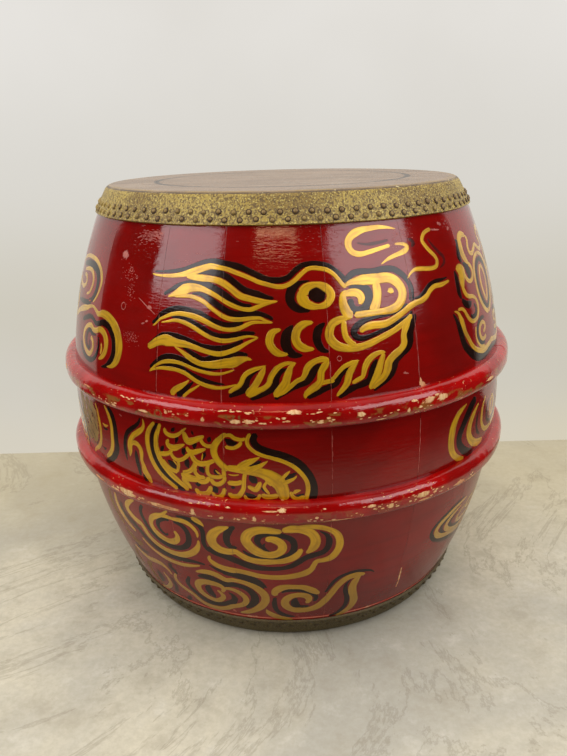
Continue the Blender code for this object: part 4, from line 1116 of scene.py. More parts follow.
def fitted_curve(points, step_mm):
    """Even points along a smooth curve through given ones, with the way along it in millimetres."""
    marks = np.array(points, float)
    ends = np.vstack([2 * marks[0] - marks[1], marks, 2 * marks[-1] - marks[-2]])
    parts = np.linspace(0, 1, 12, endpoint=False)
    dense = []
    for first, second, third, fourth in zip(ends, ends[1:], ends[2:], ends[3:]):
        for part in parts:
            dense.append(0.5 * (2 * second + (third - first) * part
                                + (2 * first - 5 * second + 4 * third - fourth) * part ** 2
                                + (3 * second - first - 3 * third + fourth) * part ** 3))
    dense.append(marks[-1])
    dense = np.array(dense)
    degree_mm = degree_length(dense[:, 1])
    mean_degree = (degree_mm[1:] + degree_mm[:-1]) / 2
    hops = np.hypot(np.diff(dense[:, 0]) * mean_degree, np.diff(dense[:, 1]))
    along = np.concatenate([[0], np.cumsum(hops)])
    wanted = np.linspace(0, along[-1], max(4, int(along[-1] / step_mm) + 1))
    return np.stack([np.interp(wanted, along, dense[:, axis]) for axis in (0, 1)], -1), wanted


def half_widths(widths, along, offset):
    """Half a stroke's width along it: a little uneven, and rounded at both ends."""
    full = np.interp(np.linspace(0, 1, len(along)), np.linspace(0, 1, len(widths)), widths)
    wobble = np.array([noise.noise(Vector((step * 0.11, offset, 0.3))) for step in along])
    full = full * (1 + 0.10 * wobble)
    from_end = np.minimum(along, along[-1] - along)
    rounding = np.clip(from_end / (full * 0.3 + 0.1), 0, 1) ** 0.4
    return np.maximum(full * rounding, 0.25) / 2


def stroke_solid(widths, marks, thickness_mm, dice, ragged, step_mm):
    """Rings of points of one closed, lens-shaped stroke of paint, and the numbers kept on them."""
    line, along = fitted_curve(marks, step_mm)
    degree_mm = degree_length(line[:, 1])
    run = np.gradient(line, axis=0)
    flat = np.stack([run[:, 0] * degree_mm, run[:, 1]], -1)
    flat /= np.maximum(np.linalg.norm(flat, axis=1, keepdims=True), 1e-9)
    offset = dice.uniform(0, 90)
    left = right = half_widths(widths, along, offset)
    if ragged:
        jitter = [np.array([1 + ragged * noise.noise(Vector((step * 0.9, offset, side))) for step in along])
                  for side in (3.1, 7.7)]
        left, right = left * jitter[0], right * jitter[1]
    crown = thickness_mm + dice.uniform(-0.008, 0.008)
    shade = dice.random()
    across = np.concatenate([ACROSS, [1.0, -1.0]])
    lift = np.concatenate([crown * PROFILE, [-PAINT_ROOT_MM, -PAINT_ROOT_MM]])
    side = np.where(across < 0, left[:, None], right[:, None]) * across
    azimuth = line[:, :1] - flat[:, 1:] * side / degree_mm[:, None]
    height = line[:, 1:] + flat[:, :1] * side
    points = on_wood(azimuth, height * MM, np.tile(lift, (len(line), 1)) * MM).reshape(-1, 3)
    return points, {"across": np.tile(across, len(line)), "along": np.repeat(along * MM, len(across)),
                    "shade": np.full(len(points), shade), "seam": seam_side(azimuth).ravel()}


def paint_strokes(name, strokes, material, thickness_mm, seed, ragged=0.0, step_mm=1.3):
    """One piece of closed, lens-shaped paint solids that follow the stave faces."""
    dice = random.Random(seed)
    columns = len(ACROSS) + 2
    all_points, faces = [], []
    values = {"across": [], "along": [], "shade": [], "seam": []}
    start = 0
    for _, widths, marks in strokes:
        points, numbers = stroke_solid(widths, marks, thickness_mm, dice, ragged, step_mm)
        faces += turned_over(capped_faces(len(points) // columns, columns, start))
        start += len(points)
        all_points.append(points)
        for label, parts in values.items():
            parts.append(numbers[label])
    values = {label: np.concatenate(parts) for label, parts in values.items()}
    piece = add_piece(name, np.concatenate(all_points), faces, material, 50, values)


# Wood, hoops, hides and tacks

def stave_outline():
    """A stave's cut edge as columns of radius, height above the middle, and whether it is the face."""
    outer_steps, inner_steps = 150, 18
    rim = rim_curve(0, 6)
    outline = [(radius, lift, False) for radius, lift in rim]
    for step in range(1, outer_steps):
        outline.append((*bow_point(bow_angle * (1 - 2 * step / outer_steps), 0), True))
    outline += [(radius, -lift, False) for radius, lift in reversed(rim)]
    outline.append((rim_radius - WALL, -wood_end, False))
    for step in range(inner_steps + 1):
        outline.append((*bow_point(bow_angle * (2 * step / inner_steps - 1), -WALL), False))
    outline.append((rim_radius - WALL, wood_end, False))
    return [np.array(column) for column in zip(*outline)]


def stave_azimuths(low, high):
    """Azimuths across a stave, close together over its rounded edges."""
    edge = [math.degrees(SEAM_ROUNDING * part / belly_radius) for part in (0, 0.12, 0.35, 0.7, 1)]
    inside = np.linspace(low + edge[-1], high - edge[-1], 40)
    inside = np.insert(inside, [1, -1], [inside[0] + 0.04, inside[-1] - 0.04])
    return np.concatenate([[low + step for step in edge[:-1]], inside,
                           [high - step for step in reversed(edge[:-1])]])


def build_staves(material):
    """Eighteen closed staves with softly rounded long edges."""
    radii, lifts, outside = stave_outline()
    gap = math.degrees(SEAM_GAP / rim_radius) / 2
    nudge = 1e-6
    for index in range(len(STAVE_WIDTHS)):
        low, high = seams[index] + gap, seams[index + 1] - gap
        azimuths = stave_azimuths(low, high)
        points, seam_values = [], []
        for azimuth in azimuths:
            from_edge = math.radians(min(azimuth - low, high - azimuth)) * belly_radius
            inset = 1 - min(from_edge / SEAM_ROUNDING, 1)
            dip = SEAM_ROUNDING * (1 - math.sqrt(1 - inset ** 2))
            face = relief(np.clip(azimuth, low + nudge, high - nudge), middle + lifts) - dip
            radius = radii + np.where(outside, face, 0)
            turn = math.radians(azimuth)
            points.append(np.stack([radius * math.sin(turn), -radius * math.cos(turn), middle + lifts], -1))
            seam_values.append(np.full(len(radii), float(seam_side(azimuth))))
        faces = turned_over(capped_faces(len(azimuths), len(radii)))
        piece = add_piece(f"lacquered_stave_{index + 1:02d}", np.concatenate(points), faces, material, 40,
                          {"seam": np.concatenate(seam_values)})
        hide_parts(f"stave_{index + 1:02d}")


def hoop_shares(rising):
    """Depth and height shares round a hoop at a turn from its front: worn at the top, full at the bottom."""
    if rising > 0:
        return math.cos(rising), HOOP_TOP_WEAR * math.sin(rising)
    depth = max(0.0, math.cos(rising)) ** HOOP_FULLNESS
    return depth, -abs(math.sin(rising)) ** HOOP_FULLNESS


def hoop_reach(turn, side, lift=None):
    """Radius and height above the middle on a hoop at a turn that grows away from the middle: lifted
    off its surface, or on its back where no lift is given."""
    depth, rise = hoop_shares(turn * side)
    swell = HOOP_EDGE + (HOOP_PROUD - HOOP_EDGE) * depth
    offset = -HOOP_BACK_DEPTH if lift is None else FIT_GAP + swell + lift
    return bow_point(hoop_angle + hoop_half_angle * rise * side, offset)


def hoop_section(steps, side):
    """Half-round section as (radius, height from the hoop's middle, turn), with a flat back."""
    section = []
    for step in range(steps + 1):
        turn = math.pi / 2 - math.pi * step / steps
        radius, lift = hoop_reach(turn, side, 0.0)
        section.append((radius, lift - HOOP_PITCH / 2, turn))
    for turn in (-math.pi / 2, 0.0, math.pi / 2):
        radius, lift = hoop_reach(turn, side)
        section.append((radius, lift - HOOP_PITCH / 2, turn))
    return section


def hoop_relief(azimuth, turn, side):
    """Small hand-planed dents, always inwards."""
    angle = math.radians(azimuth)
    long_wave = noise.noise(Vector((math.cos(angle) * 9, math.sin(angle) * 9, turn * 0.7 + side * 5)))
    short_wave = noise.noise(Vector((math.cos(angle) * 46, math.sin(angle) * 46, turn * 1.6 + side * 9)))
    return -0.00022 * (1 + long_wave) - 0.0001 * (1 + short_wave)


def hoop_point(azimuth, turn, side, lift=0.0):
    """A point on a hoop at an azimuth in degrees and a turn from its front, growing away from the middle."""
    radius, height = hoop_reach(turn, side, hoop_relief(azimuth, turn * side, side) + lift)
    angle = math.radians(azimuth)
    return (radius * math.sin(angle), -radius * math.cos(angle), middle + side * height)


def build_hoop(name, node_name, side, scarf, material):
    """A half-round hoop: a bent strip whose slanting ends meet in a scarf."""
    columns = 560
    slant = math.degrees(SCARF_LENGTH / HOOP_HEIGHT / belly_radius)
    gap = math.degrees(HOOP_END_GAP / belly_radius)
    section = hoop_section(36, side)
    points, turns = [], []
    for column in range(columns + 1):
        part = column / columns
        near_end = abs(2 * part - 1) ** 12
        for radius, lift, turn in section:
            azimuth = scarf + gap / 2 + part * (360 - gap) + near_end * slant * lift
            dent = hoop_relief(azimuth, turn * side, side)
            angle = math.radians(azimuth)
            reach = radius + dent * math.cos(turn)
            points.append((reach * math.sin(angle), -reach * math.cos(angle),
                           middle + side * (HOOP_PITCH / 2 + lift + dent * math.sin(turn))))
            turns.append(turn * side)
    faces = capped_faces(columns + 1, len(section))
    piece = add_piece(name, points, turned_over(faces) if side > 0 else faces, material, 50, {"turn": turns})
    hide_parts(node_name)


def hide_wave(angle, seed):
    """Slow unevenness round a hide's edge, from -1 to 1."""
    broad = noise.noise(Vector((math.cos(angle) * 3, math.sin(angle) * 3, seed)))
    fine = noise.noise(Vector((math.cos(angle) * 14, math.sin(angle) * 14, seed + 3)))
    return 0.6 * broad + 0.4 * fine


def hide_outline():
    """A hide from its middle, over the rim and back underneath, as (radius, height, whether outside)."""
    over = rim_curve(FIT_GAP + SKIN_THICKNESS, 16)
    under = rim_curve(FIT_GAP, 8)
    face_rings, under_rings = 46, 6
    face = [(over[0][0] * step / face_rings, over[0][1]) for step in range(1, face_rings)]
    back = [(under[0][0] * step / under_rings, under[0][1]) for step in range(under_rings - 1, 0, -1)]
    outline = [(radius, lift, True) for radius, lift in face + over]
    return outline + [(radius, lift, False) for radius, lift in under[::-1] + back]


def hide_point(radius, lift, outer, angle, side, rim_start):
    """A point of a hide: slack on the face, knobbly on the side, and uneven towards the cut edge."""
    wavy_from = 0.010
    drop = max(0.0, (middle - wavy_from - lift) / (SKIN_DEPTH - wavy_from))
    shift = 0.0005 * hide_wave(angle, side * 4.0) * min(drop, 1)
    along, aside = math.cos(angle), math.sin(angle)
    reach, sink = radius, 0.0
    if outer and radius < rim_start * 0.999:
        dent = noise.noise(Vector((radius * along * 22, radius * aside * 22, side)))
        sink = 0.0001 * (1 + dent) * min(1, (rim_start - radius) / 0.01)
    elif outer:
        knob = noise.noise(Vector((along * 60, aside * 60, lift * 300 + side)))
        reach -= 0.00012 * (1 + knob)
    return (reach * along, reach * aside, middle + side * (lift - sink + shift))


def build_hide(name, node_name, side, material):
    """A hide drawn over the rim: a slack face, a rounded rim and a side with a hand-cut edge."""
    columns = 420
    outline = hide_outline()
    rim_start = rim_curve(FIT_GAP + SKIN_THICKNESS, 16)[0][0]
    points, face_values, radius_values = [], [], []
    for radius, lift, outer in outline:
        flatness = 1 - min(1, max(0, (middle - lift - 0.0006) / 0.0016)) if outer else 0
        for column in range(columns):
            angle = 2 * math.pi * column / columns
            points.append(hide_point(radius, lift, outer, angle, side, rim_start))
        face_values += [flatness] * columns
        radius_values += [radius / HEAD_RADIUS] * columns
    size = len(points)
    points += [(0, 0, middle + side * (middle - 0.0001)), (0, 0, middle + side * outline[-1][1])]
    faces = ring_faces(len(outline), columns)
    faces += fan_faces(size, 0, columns, True)
    faces += fan_faces(size + 1, size - columns, columns)
    piece = add_piece(name, points, turned_over(faces) if side > 0 else faces, material, 50,
                      {"face": face_values + [1, 0], "radius": radius_values + [0, 0]})
    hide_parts(node_name)


def tack_frame(row, index, side, dice):
    """Azimuth in radians, foot, and outward, sideways and upward directions of one tack."""
    edge_radius, edge_lift = rim_curve(FIT_GAP + SKIN_THICKNESS, 16)[-1]
    climb = TACK_FIRST_ROW + row * TACK_ROW_PITCH + dice.uniform(-0.0005, 0.0005)
    turn = math.radians(TACK_PHASE + (index + (row - 1) / 2) * 360 / TACK_COUNT + dice.uniform(-0.13, 0.13))
    reach = edge_radius - climb * math.sin(rim_taper)
    lift = edge_lift + climb * math.cos(rim_taper)
    outward = Vector((math.sin(turn) * math.cos(rim_taper), -math.cos(turn) * math.cos(rim_taper),
                      side * math.sin(rim_taper)))
    outward += Vector([dice.uniform(-0.09, 0.09) for _ in range(3)])
    outward.normalize()
    aside = Vector((math.cos(turn), math.sin(turn), 0))
    aside = (aside - outward * aside.dot(outward)).normalized()
    foot = Vector((reach * math.sin(turn), -reach * math.cos(turn), middle + side * lift))
    return turn, foot, outward, aside, outward.cross(aside)


def build_tacks(name, side, material):
    """Two staggered rows of domed tacks, each a little out of true, and most gilded at the far left."""
    dice = random.Random(29 + side)
    around = 16
    levels = [(1.0, -TACK_ROOT)] + [(radius, rise * TACK_RISE) for radius, rise in TACK_LEVELS]
    points, faces = [], []
    values = {"radius": [], "shade": [], "gilt": []}
    for row in range(2):
        for index in range(TACK_COUNT):
            turn, foot, outward, aside, upward = tack_frame(row, index, side, dice)
            size = TACK_RADIUS * dice.uniform(0.86, 1.04)
            shade = dice.random()
            gilt = float(smoothstep(0.68, 0.86, -math.sin(turn + 0.12))) if dice.random() < 0.8 else 0.3
            start = len(points)
            for radius, rise in levels:
                for step in range(around):
                    angle = 2 * math.pi * step / around
                    spot = foot + (aside * math.cos(angle) + upward * math.sin(angle)) * radius * size
                    points.append(tuple(spot + outward * rise))
                    values["radius"].append(radius)
            points += [tuple(foot + outward * TACK_RISE), tuple(foot - outward * TACK_ROOT)]
            values["radius"] += [0, 1]
            values["shade"] += [shade] * (len(points) - start)
            values["gilt"] += [gilt] * (len(points) - start)
            tip = len(points) - 2
            faces += ring_faces(len(levels), around, start)
            faces += fan_faces(tip, tip - around, around)
            faces += fan_faces(tip + 1, start, around, True)
    piece = add_piece(name, points, faces, material, 60, values)


# Wear that shows bare wood or primer

# Chips along the seams: azimuth, height at both ends and twice its width in millimetres
SEAM_CHIPS = [(-29.4, 372, 352, 0.7), (-29.3, 349, 338, 0.6), (-29.3, 334, 322, 0.9),
              (-29.2, 318, 296, 0.9), (-29.3, 290, 270, 0.7), (9.0, 300, 286, 0.7), (9.1, 280, 266, 0.9),
              (9.0, 340, 326, 0.5), (29.6, 345, 330, 0.6), (29.6, 318, 300, 0.8), (29.7, 296, 278, 1.0),
              (-50.4, 396, 378, 1.4), (-50.4, 366, 350, 0.6), (-13.6, 236, 222, 0.9),
              (-28.8, 144, 132, 0.8), (-28.9, 96, 84, 0.9), (29.7, 372, 352, 0.8), (29.7, 352, 334, 1.0),
              (29.8, 334, 316, 1.1), (29.8, 316, 296, 1.1), (29.8, 296, 276, 1.3), (29.8, 240, 224, 1.2),
              (29.8, 224, 206, 1.1), (29.8, 206, 188, 1.0), (9.1, 238, 228, 0.9), (9.1, 224, 214, 0.8),
              (9.1, 209, 198, 0.9), (9.1, 194, 184, 0.8), (9.0, 322, 306, 0.7), (9.1, 300, 280, 0.9)]

# Knocks in the faces: azimuth and height at both ends, and width in millimetres
DENTS = [(-36, 345, -30.4, 333.4, 0.9), (-33.2, 339, -31.6, 338, 3.0), (-12.9, 301.6, -10.8, 294, 0.6),
         (25.6, 282.6, 27, 281.6, 1.6), (-44.6, 378.6, -42.0, 376.6, 6.4), (-17.6, 36.6, -16.6, 33.4, 3.0),
         (40, 392.5, 44, 391.2, 1.6), (47.4, 389.6, 48.6, 391.6, 2.4), (43.8, 396.6, 45.4, 395, 3.0),
         (-41.4, 239.6, -40.6, 238.4, 1.6), (-33.2, 326.6, -32.4, 327.4, 1.6),
         (-34.4, 324.4, -33.4, 325.4, 1.4), (-58.8, 330.6, -57, 331.6, 1.4),
         (25.7, 282.8, 26.2, 283.4, 0.5), (26.4, 281.6, 27, 281.2, 0.6)]

# Rings scratched in the lacquer: azimuth in degrees, height and radius in millimetres
RINGS = [(-41, 336, 3.0), (-39.9, 366.6, 1.8), (11.1, 301.5, 2.0), (-37.6, 361, 1.2)]

# Sprays of fine flecks: azimuth and height of the middle, half width in degrees, half height in
# millimetres, number, and length of each in millimetres
SPRAYS = [(-37.6, 312, 2.6, 7, 90, 0.9), (-39.4, 352, 2.2, 16, 46, 1.2), (-41, 362, 3.2, 9, 34, 1.0),
          (-36.6, 394, 5.4, 7, 80, 3.4), (-34.4, 396, 3.2, 4, 46, 4.6), (30, 392, 4, 10, 70, 1.4),
          (27.4, 384, 2.4, 8, 30, 1.2), (-22, 372, 5, 24, 40, 1.2), (-2.6, 391, 6, 10, 40, 3.8)]

# Wedges of bare wood beside a seam: widths, then azimuths and heights, as for strokes
BARE_WEDGES = [((1.2, 3.2, 6.4, 4.6), 30, 276, 30.1, 272, 30.6, 268, 30.8, 265.6),
               ((1, 2, 1.6, 0.8), 30.6, 76, 30.9, 66, 31.3, 56, 31.4, 46)]

# Bare spots on the hoops: azimuth at both ends, turn round the half-round in degrees, width in
# millimetres, and which hoop, 1 for the upper and -1 for the lower
HOOP_CHIPS = [(-0.2, 2.7, 25, 4.8, 1), (25.6, 27.2, 12, 2.6, 1), (29, 31.6, 3, 4, 1), (31.6, 33, 14, 2, 1),
              (32.6, 35.4, -1, 4.2, 1), (27.3, 28.4, -14, 1.8, 1), (-11.4, -9.2, -12, 3, 1),
              (-8.5, -7.1, -11, 3, 1), (5.6, 7, -18, 2, 1), (7.5, 8.4, -5, 1.2, 1),
              (-17.4, -16.6, -12, 3, 1), (-25.6, -24.8, -4, 1.6, 1), (-32.4, -29.6, -14, 1.8, 1),
              (-40.6, -39, -26, 3, 1), (-43, -41.4, -30, 1.6, 1), (13.6, 15.4, -4, 2.6, 1),
              (17.6, 20, -38, 1.4, 1), (24.6, 25.4, -18, 3.4, 1), (-52, -49, 4, 1.6, 1),
              (50, 54, -12, 2.4, 1), (-2.6, -0.8, 30, 5, -1), (-5.6, -2.4, 24, 1.8, -1),
              (-33.4, -22.6, -16, 3.4, -1), (-31.4, -25, -10, 1.6, -1), (-21.3, -20.4, -9, 4.6, -1),
              (-41, -36, -9, 5.6, -1), (-45, -41.6, -16, 2.6, -1), (-15, -14, -19, 1.8, -1),
              (-11.2, -10.4, -17, 1.8, -1), (-7.8, -7, -12, 4, -1), (5, 5.8, -10, 2, -1),
              (6.6, 7.4, 28, 1.4, -1), (6.6, 13.6, -34, 1.2, -1), (16, 18.1, 9, 3.4, -1),
              (20.9, 22.2, -6, 3.2, -1), (26, 26.7, -8, 1.6, -1), (27.9, 31.8, 3, 4.8, -1),
              (28.6, 32, -22, 2, -1), (33.1, 34, 3, 1.4, -1), (39.4, 43.6, -16, 3.6, -1),
              (44, 50, -34, 3, -1), (-52, -48, -10, 2.4, -1)]

# Small knocks scattered on the hoops: azimuth at both ends, turn at both ends, number, and which hoop
HOOP_KNOCKS = [(-38, -31, 14, 26, 9, 1), (-14, -7, 18, 38, 14, 1), (-14, -5, -16, -3, 9, 1),
               (-25, -20, -10, 4, 6, 1), (1, 9, 4, 32, 7, 1), (4, 24, -30, -8, 13, 1),
               (-48, -38, -26, 4, 10, 1), (24, 40, -42, -14, 5, 1), (-5, 0, -16, 4, 6, 1),
               (-45, -33, -22, 0, 16, -1), (-33, -20, -22, -10, 12, -1), (-18, -5, -22, -9, 10, -1),
               (2, 15, -26, -8, 10, -1), (15, 25, -16, 14, 12, -1), (25, 37, -14, 18, 12, -1),
               (37, 50, -36, -4, 16, -1), (16, 34, 34, 48, 7, -1), (-22, -12, 28, 46, 8, -1)]


def chip(widths, *numbers):
    return stroke("chip", widths, *numbers)


def build_seam_chips(rubbed, bare):
    """Slivers of worn lacquer along the seams, and a few knocks in the faces."""
    chips = []
    for azimuth, high, low, width in SEAM_CHIPS:
        width *= 0.5
        chips.append(chip((width * 0.3, width, width * 0.5, width, width * 0.2),
                          azimuth, high, azimuth + 0.05, (high * 2 + low) / 3,
                          azimuth - 0.03, (high + low * 2) / 3, azimuth, low))
    for left, high, right, low, width in DENTS:
        chips.append(chip((width * 0.4, width, width, width * 0.4), left, high,
                          (left + right) / 2, (high + low) / 2, right, low))
    for azimuth, height, radius in RINGS:
        ring = []
        for step in range(9):
            angle = 2 * math.pi * step / 8 + 0.4
            ring += [azimuth + radius / DEGREE_MM * math.cos(angle), height + radius * math.sin(angle)]
        chips.append(chip((0.2, 0.6, 0.4, 0.7, 0.2), *ring))
    dice = random.Random(5)
    front, hoop_height, clear_of_hoop = 60, HOOP_PITCH / 2 / MM, 28
    for seam in seams[:-1]:
        for _ in range(0 if -front < seam < front else 5):
            high = dice.uniform(60, 395)
            if abs(abs(high - middle / MM) - hoop_height) < clear_of_hoop:
                continue
            width = dice.uniform(0.4, 1.0)
            chips.append(chip((width * 0.3, width, width * 0.6, width, width * 0.2),
                              seam, high, seam + 0.05, high - 6,
                              seam - 0.04, high - 12, seam, high - dice.uniform(14, 22)))
    paint_strokes("seam_chips", chips, rubbed, 0.05, 61, ragged=0.9, step_mm=0.7)
    wedges = [chip(widths, *points) for widths, *points in BARE_WEDGES]
    paint_strokes("bare_wedges", wedges, bare, 0.05, 62, ragged=0.9, step_mm=0.7)


def build_flecks(rubbed):
    """Sprays of fine flecks where the lacquer is rubbed."""
    dice = random.Random(83)
    flecks = []
    for azimuth, height, half_width, half_height, count, length in SPRAYS:
        for _ in range(count):
            spot = azimuth + half_width * dice.gauss(0, 0.45)
            level = height + half_height * dice.gauss(0, 0.45)
            width = dice.uniform(0.25, 0.6)
            run = length * dice.uniform(0.5, 1.3) / DEGREE_MM
            flecks.append(chip((width * 0.5, width, width * 0.5), spot, level, spot + run / 2,
                               level + dice.uniform(-0.3, 0.3), spot + run, level))
    paint_strokes("lacquer_flecks", flecks, rubbed, 0.03, 63, step_mm=0.8)


def all_hoop_chips(dice):
    """The bare spots read from the photograph, small knocks among them, and a few round the back."""
    chips = list(HOOP_CHIPS)
    for first, last, low, high, count, side in HOOP_KNOCKS:
        for _ in range(count):
            azimuth = dice.uniform(first, last)
            size = dice.uniform(0.3, 1.0) ** 1.6
            turn = dice.uniform(low, high)
            chips.append((azimuth, azimuth + 0.2 + 0.9 * size, turn, 0.4 + 0.9 * size, side))
    back_start, back_end = 66.0, 296.0
    for side in (1, -1):
        azimuth = back_start
        while azimuth < back_end:
            length = dice.uniform(0.8, 3.2)
            chips.append((azimuth, azimuth + length, dice.uniform(-34, 26), dice.uniform(1.4, 4.2), side))
            azimuth += length + dice.uniform(5, 17)
    return chips


def build_hoop_chips(material):
    """Bare spots on the hoops where the lacquer is knocked off: ragged, nearly flat lids."""
    dice = random.Random(17)
    around = 28
    root = -0.0001
    rings = ((1.0, root), (0.97, 0.00004), (0.55, 0.00005))
    points, faces, across_values = [], [], []
    for first, last, turn_degrees, width, side in all_hoop_chips(dice):
        start = len(points)
        centre, half_azimuth = (first + last) / 2, (last - first) / 2
        centre_turn = math.radians(turn_degrees) * side
        half_turn = width * MM / 2 / HOOP_ROUND
        seed = dice.uniform(0, 80)
        for share, lift in rings:
            for step in range(around):
                angle = 2 * math.pi * step / around
                along, aside = math.cos(angle), math.sin(angle)
                ragged = 1 + 0.42 * noise.noise(Vector((along * 2.2, aside * 2.2, seed)))
                ragged += 0.25 * noise.noise(Vector((along * 6, aside * 6, seed + 9)))
                points.append(hoop_point(centre + half_azimuth * along * share * ragged,
                                         centre_turn + half_turn * aside * share * ragged, side, lift))
                across_values.append(share if share > 0.9 else 0.5)
        points += [hoop_point(centre, centre_turn, side, lift) for lift in (rings[-1][1], root)]
        across_values += [0.0, 0.0]
        tip = len(points) - 2
        faces += ring_faces(len(rings), around, start)
        faces += fan_faces(tip, tip - around, around)
        faces += fan_faces(tip + 1, start, around, True)
    add_piece("hoop_chips", points, faces, material, 60, {"across": across_values})


# Stage

def add_sheet(name, corners, material):
    """A flat, four-cornered sheet of the stage."""
    mesh = bpy.data.meshes.new(name)
    mesh.from_pydata(corners, [], [(0, 1, 2, 3)])
    mesh.materials.append(material)
    part = bpy.data.objects.new(name, mesh)
    bpy.context.scene.collection.objects.link(part)
    return part


def build_stage():
    """A pale slab to stand on and a pale wall behind."""
    reach = 8.0
    add_sheet("floor", [(-reach, -reach, 0), (reach, -reach, 0), (reach, reach, 0), (-reach, reach, 0)],
              floor_material())
    back, half, top = 0.262, 1.0, 1.5
    wall = add_sheet("wall", [(-half, back, 0), (half, back, 0), (half, back, top), (-half, back, top)],
                     wall_material())
    wall.visible_diffuse = False
    wall.visible_shadow = False


def add_window(name, direction, size, power, colour):
    """A soft window of light in a direction of (azimuth, elevation), aimed at the drum."""
    light = bpy.data.lights.new(name, "AREA")
    light.shape = "RECTANGLE"
    light.size, light.size_y = size
    light.energy = power
    light.color = colour
    window = bpy.data.objects.new(name, light)
    turn, climb = math.radians(direction[0]), math.radians(direction[1])
    spot = Vector((math.sin(turn) * math.cos(climb), -math.cos(turn) * math.cos(climb), math.sin(climb)))
    spot *= WINDOW_DISTANCE
    window.location = spot + Vector((0, 0, middle))
    window.rotation_euler = spot.to_track_quat("Z", "Y").to_euler()
    window.visible_diffuse = False
    bpy.context.scene.collection.objects.link(window)


def build_world():
    """A pale room: it sheds light from overhead and from both sides, and the lacquer mirrors it darker
    in front."""
    world = bpy.data.worlds.new("room")
    bpy.context.scene.world = world
    world.use_nodes = True
    tree = world.node_tree
    tree.nodes.clear()
    direction = node(tree, "ShaderNodeTexCoord").outputs["Generated"]
    parts = node(tree, "ShaderNodeSeparateXYZ", {0: direction}).outputs
    mirrored_room = blend(tree, between(tree, parts["Y"], 0.30, 0.52, 1.0, 0.0), display(214, 210, 203),
                          display(26, 25, 26))
    mirrored_room = blend(tree, between(tree, parts["Z"], 0.72, 0.9), mirrored_room, display(176, 172, 168))
    overhead = math_node(tree, "POWER", math_node(tree, "MAXIMUM", parts["Z"], 0.0), 2.0)
    beside = math_node(tree, "POWER", math_node(tree, "ABSOLUTE", parts["X"]), 4.0)
    beside = product(tree, product(tree, beside, 2.1), between(tree, parts["Z"], -0.3, 0.1))
    shed = math_node(tree, "ADD", product(tree, overhead, 2.4), beside)
    shed = math_node(tree, "ADD", shed, 0.12)
    shed = node(tree, "ShaderNodeCombineColor", {"Red": shed, "Green": shed, "Blue": shed}).outputs[0]
    path = node(tree, "ShaderNodeLightPath").outputs
    glossy = math_node(tree, "MAXIMUM", path["Is Glossy Ray"], path["Is Transmission Ray"])
    colour = blend(tree, glossy, shed, mirrored_room)
    colour = blend(tree, path["Is Camera Ray"], colour, display(224, 221, 215))
    background = node(tree, "ShaderNodeBackground", {"Color": colour, "Strength": 1.0}).outputs[0]
    node(tree, "ShaderNodeOutputWorld", {"Surface": background})


def build_camera():
    camera_data = bpy.data.cameras.new("camera")
    camera_data.sensor_fit = "AUTO"
    camera_data.sensor_width = SENSOR
    camera_data.lens = FOCAL_PIXELS * SENSOR / PICTURE_LONG_SIDE
    camera_data.clip_start = 0.02
    camera = bpy.data.objects.new("camera", camera_data)
    pitch, yaw, roll = CAMERA_PITCH, CAMERA_YAW, CAMERA_ROLL
    forward = Vector((math.sin(yaw) * math.cos(pitch), math.cos(yaw) * math.cos(pitch), -math.sin(pitch)))
    right = Vector((math.cos(yaw), -math.sin(yaw), 0))
    up = right.cross(forward)
    rolled_right = right * math.cos(roll) + up * math.sin(roll)
    rolled_up = up * math.cos(roll) - right * math.sin(roll)
    turn = Matrix((rolled_right, rolled_up, -forward)).transposed().to_4x4()
    camera.matrix_world = Matrix.Translation((0, -CAMERA_DISTANCE, CAMERA_HEIGHT)) @ turn
    bpy.context.scene.collection.objects.link(camera)
    bpy.context.scene.camera = camera


def build_hides():
    """A gilded hide at the top and a darker one at the foot."""
    gilded_side = displays((186, 156, 62), (146, 116, 46), (98, 72, 32), (232, 208, 112))
    gilded_face = displays((146, 118, 92), (122, 96, 72), (158, 134, 108), (52, 40, 32), (150, 120, 62))
    dark_side = displays((96, 81, 38), (84, 70, 34), (76, 62, 32), (118, 102, 56))
    dark_face = displays((130, 108, 84), (112, 90, 68), (140, 118, 94), (84, 70, 58), (96, 76, 48))
    build_hide("upper_hide", "top_head", 1, hide_material("gilded_hide", gilded_side, gilded_face))
    build_hide("lower_hide", "bottom_head", -1, hide_material("dark_hide", dark_side, dark_face))


def build_all_tacks():
    """Tarnished, partly gilded tacks at the top and painted ones at the foot."""
    tarnished = displays((172, 142, 76), (138, 108, 56), (120, 88, 48))
    painted = displays((94, 79, 40), (80, 66, 34), (76, 62, 34))
    # The colour after each crown's tones is the dark brown round each foot: partly dirt, partly painted shade
    build_tacks("upper_tacks", 1,
                tack_material("tarnished_tack", tarnished, display(62, 36, 14), display(172, 142, 64)))
    build_tacks("lower_tacks", -1,
                tack_material("painted_tack", painted, display(66, 52, 27), display(90, 76, 40)))


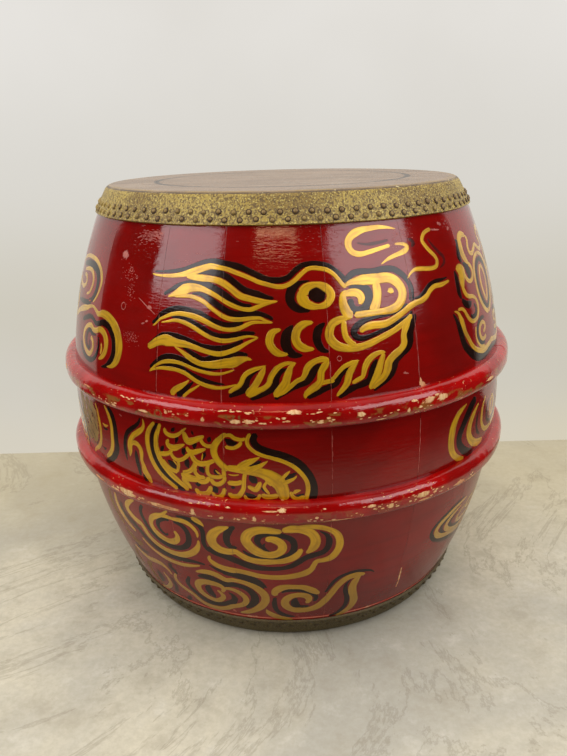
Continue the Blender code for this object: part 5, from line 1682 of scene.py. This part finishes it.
def build_decoration():
    """The painted ornament, its worn wash at the left, and faint lines left in the lacquer."""
    strokes = whole_decoration()
    # The third tone of each paint is its duller edge, which also gives the painted shade near the foot
    gold_tones = displays((232, 178, 10), (184, 132, 10), (176, 126, 26))
    black_tones = displays((28, 13, 8), (40, 16, 9), (40, 14, 9))
    worn_tones = displays((150, 116, 56), (118, 72, 38), (128, 88, 44))
    faint_tones = displays((70, 10, 8), (90, 10, 7), (100, 9, 6))
    gold_paint = paint_material("gold_paint", gold_tones, 0.4, 0.3, 0.00006, coat=0.85)
    black_paint = paint_material("black_paint", black_tones, 0.0, 0.08, 0.00003)
    worn_paint = paint_material("worn_gold", worn_tones, 0.1, 0.35, 0.00006)
    faint_paint = paint_material("faint_paint", faint_tones, 0.0, 0.1, 0.00003)
    blacks = [one for one in strokes if one[0] == "black"]
    golds = [one for one in strokes if one[0] == "gold"]
    paint_strokes("black_strokes", blacks, black_paint, 0.04, 3)
    paint_strokes("gold_strokes", golds, gold_paint, 0.08, 4)
    paint_strokes("worn_strokes", LEFT_WASH + mirrored(LEFT_WASH), worn_paint, 0.03, 9, ragged=0.5)
    paint_strokes("faint_strokes", SHADOWS + mirrored(SHADOWS), faint_paint, 0.02, 7)


def build_wear():
    """Everything chipped, scratched or rubbed off."""
    bare = chip_material("bare_wood", *displays((246, 206, 150), (222, 158, 96), (196, 96, 50)))
    rubbed = chip_material("rubbed_primer", *displays((196, 104, 88), (160, 66, 54), (136, 34, 26)))
    build_seam_chips(rubbed, bare)
    build_flecks(rubbed)
    build_hoop_chips(bare)


def main():
    bpy.context.scene.view_settings.view_transform = "Standard"
    build_staves(lacquer_material())
    hoop_lacquer = hoop_material()
    build_hoop("lacquered_upper_hoop", "upper_hoop", 1, UPPER_SCARF_AZIMUTH, hoop_lacquer)
    build_hoop("lacquered_lower_hoop", "lower_hoop", -1, LOWER_SCARF_AZIMUTH, hoop_lacquer)
    build_hides()
    build_all_tacks()
    build_decoration()
    build_wear()
    build_stage()
    add_window("left_window", (-56.7, 29.4), (1.19, 0.87), 11.1, (1, 0.97, 0.98))
    add_window("right_window", (52, 27.9), (1.47, 1.0), 15.6, (1, 0.97, 0.98))
    add_window("ceiling_lamp", (-4.5, 39.1), (0.62, 0.17), 1.9, (1, 0.66, 0.36))
    build_world()
    build_camera()


main()
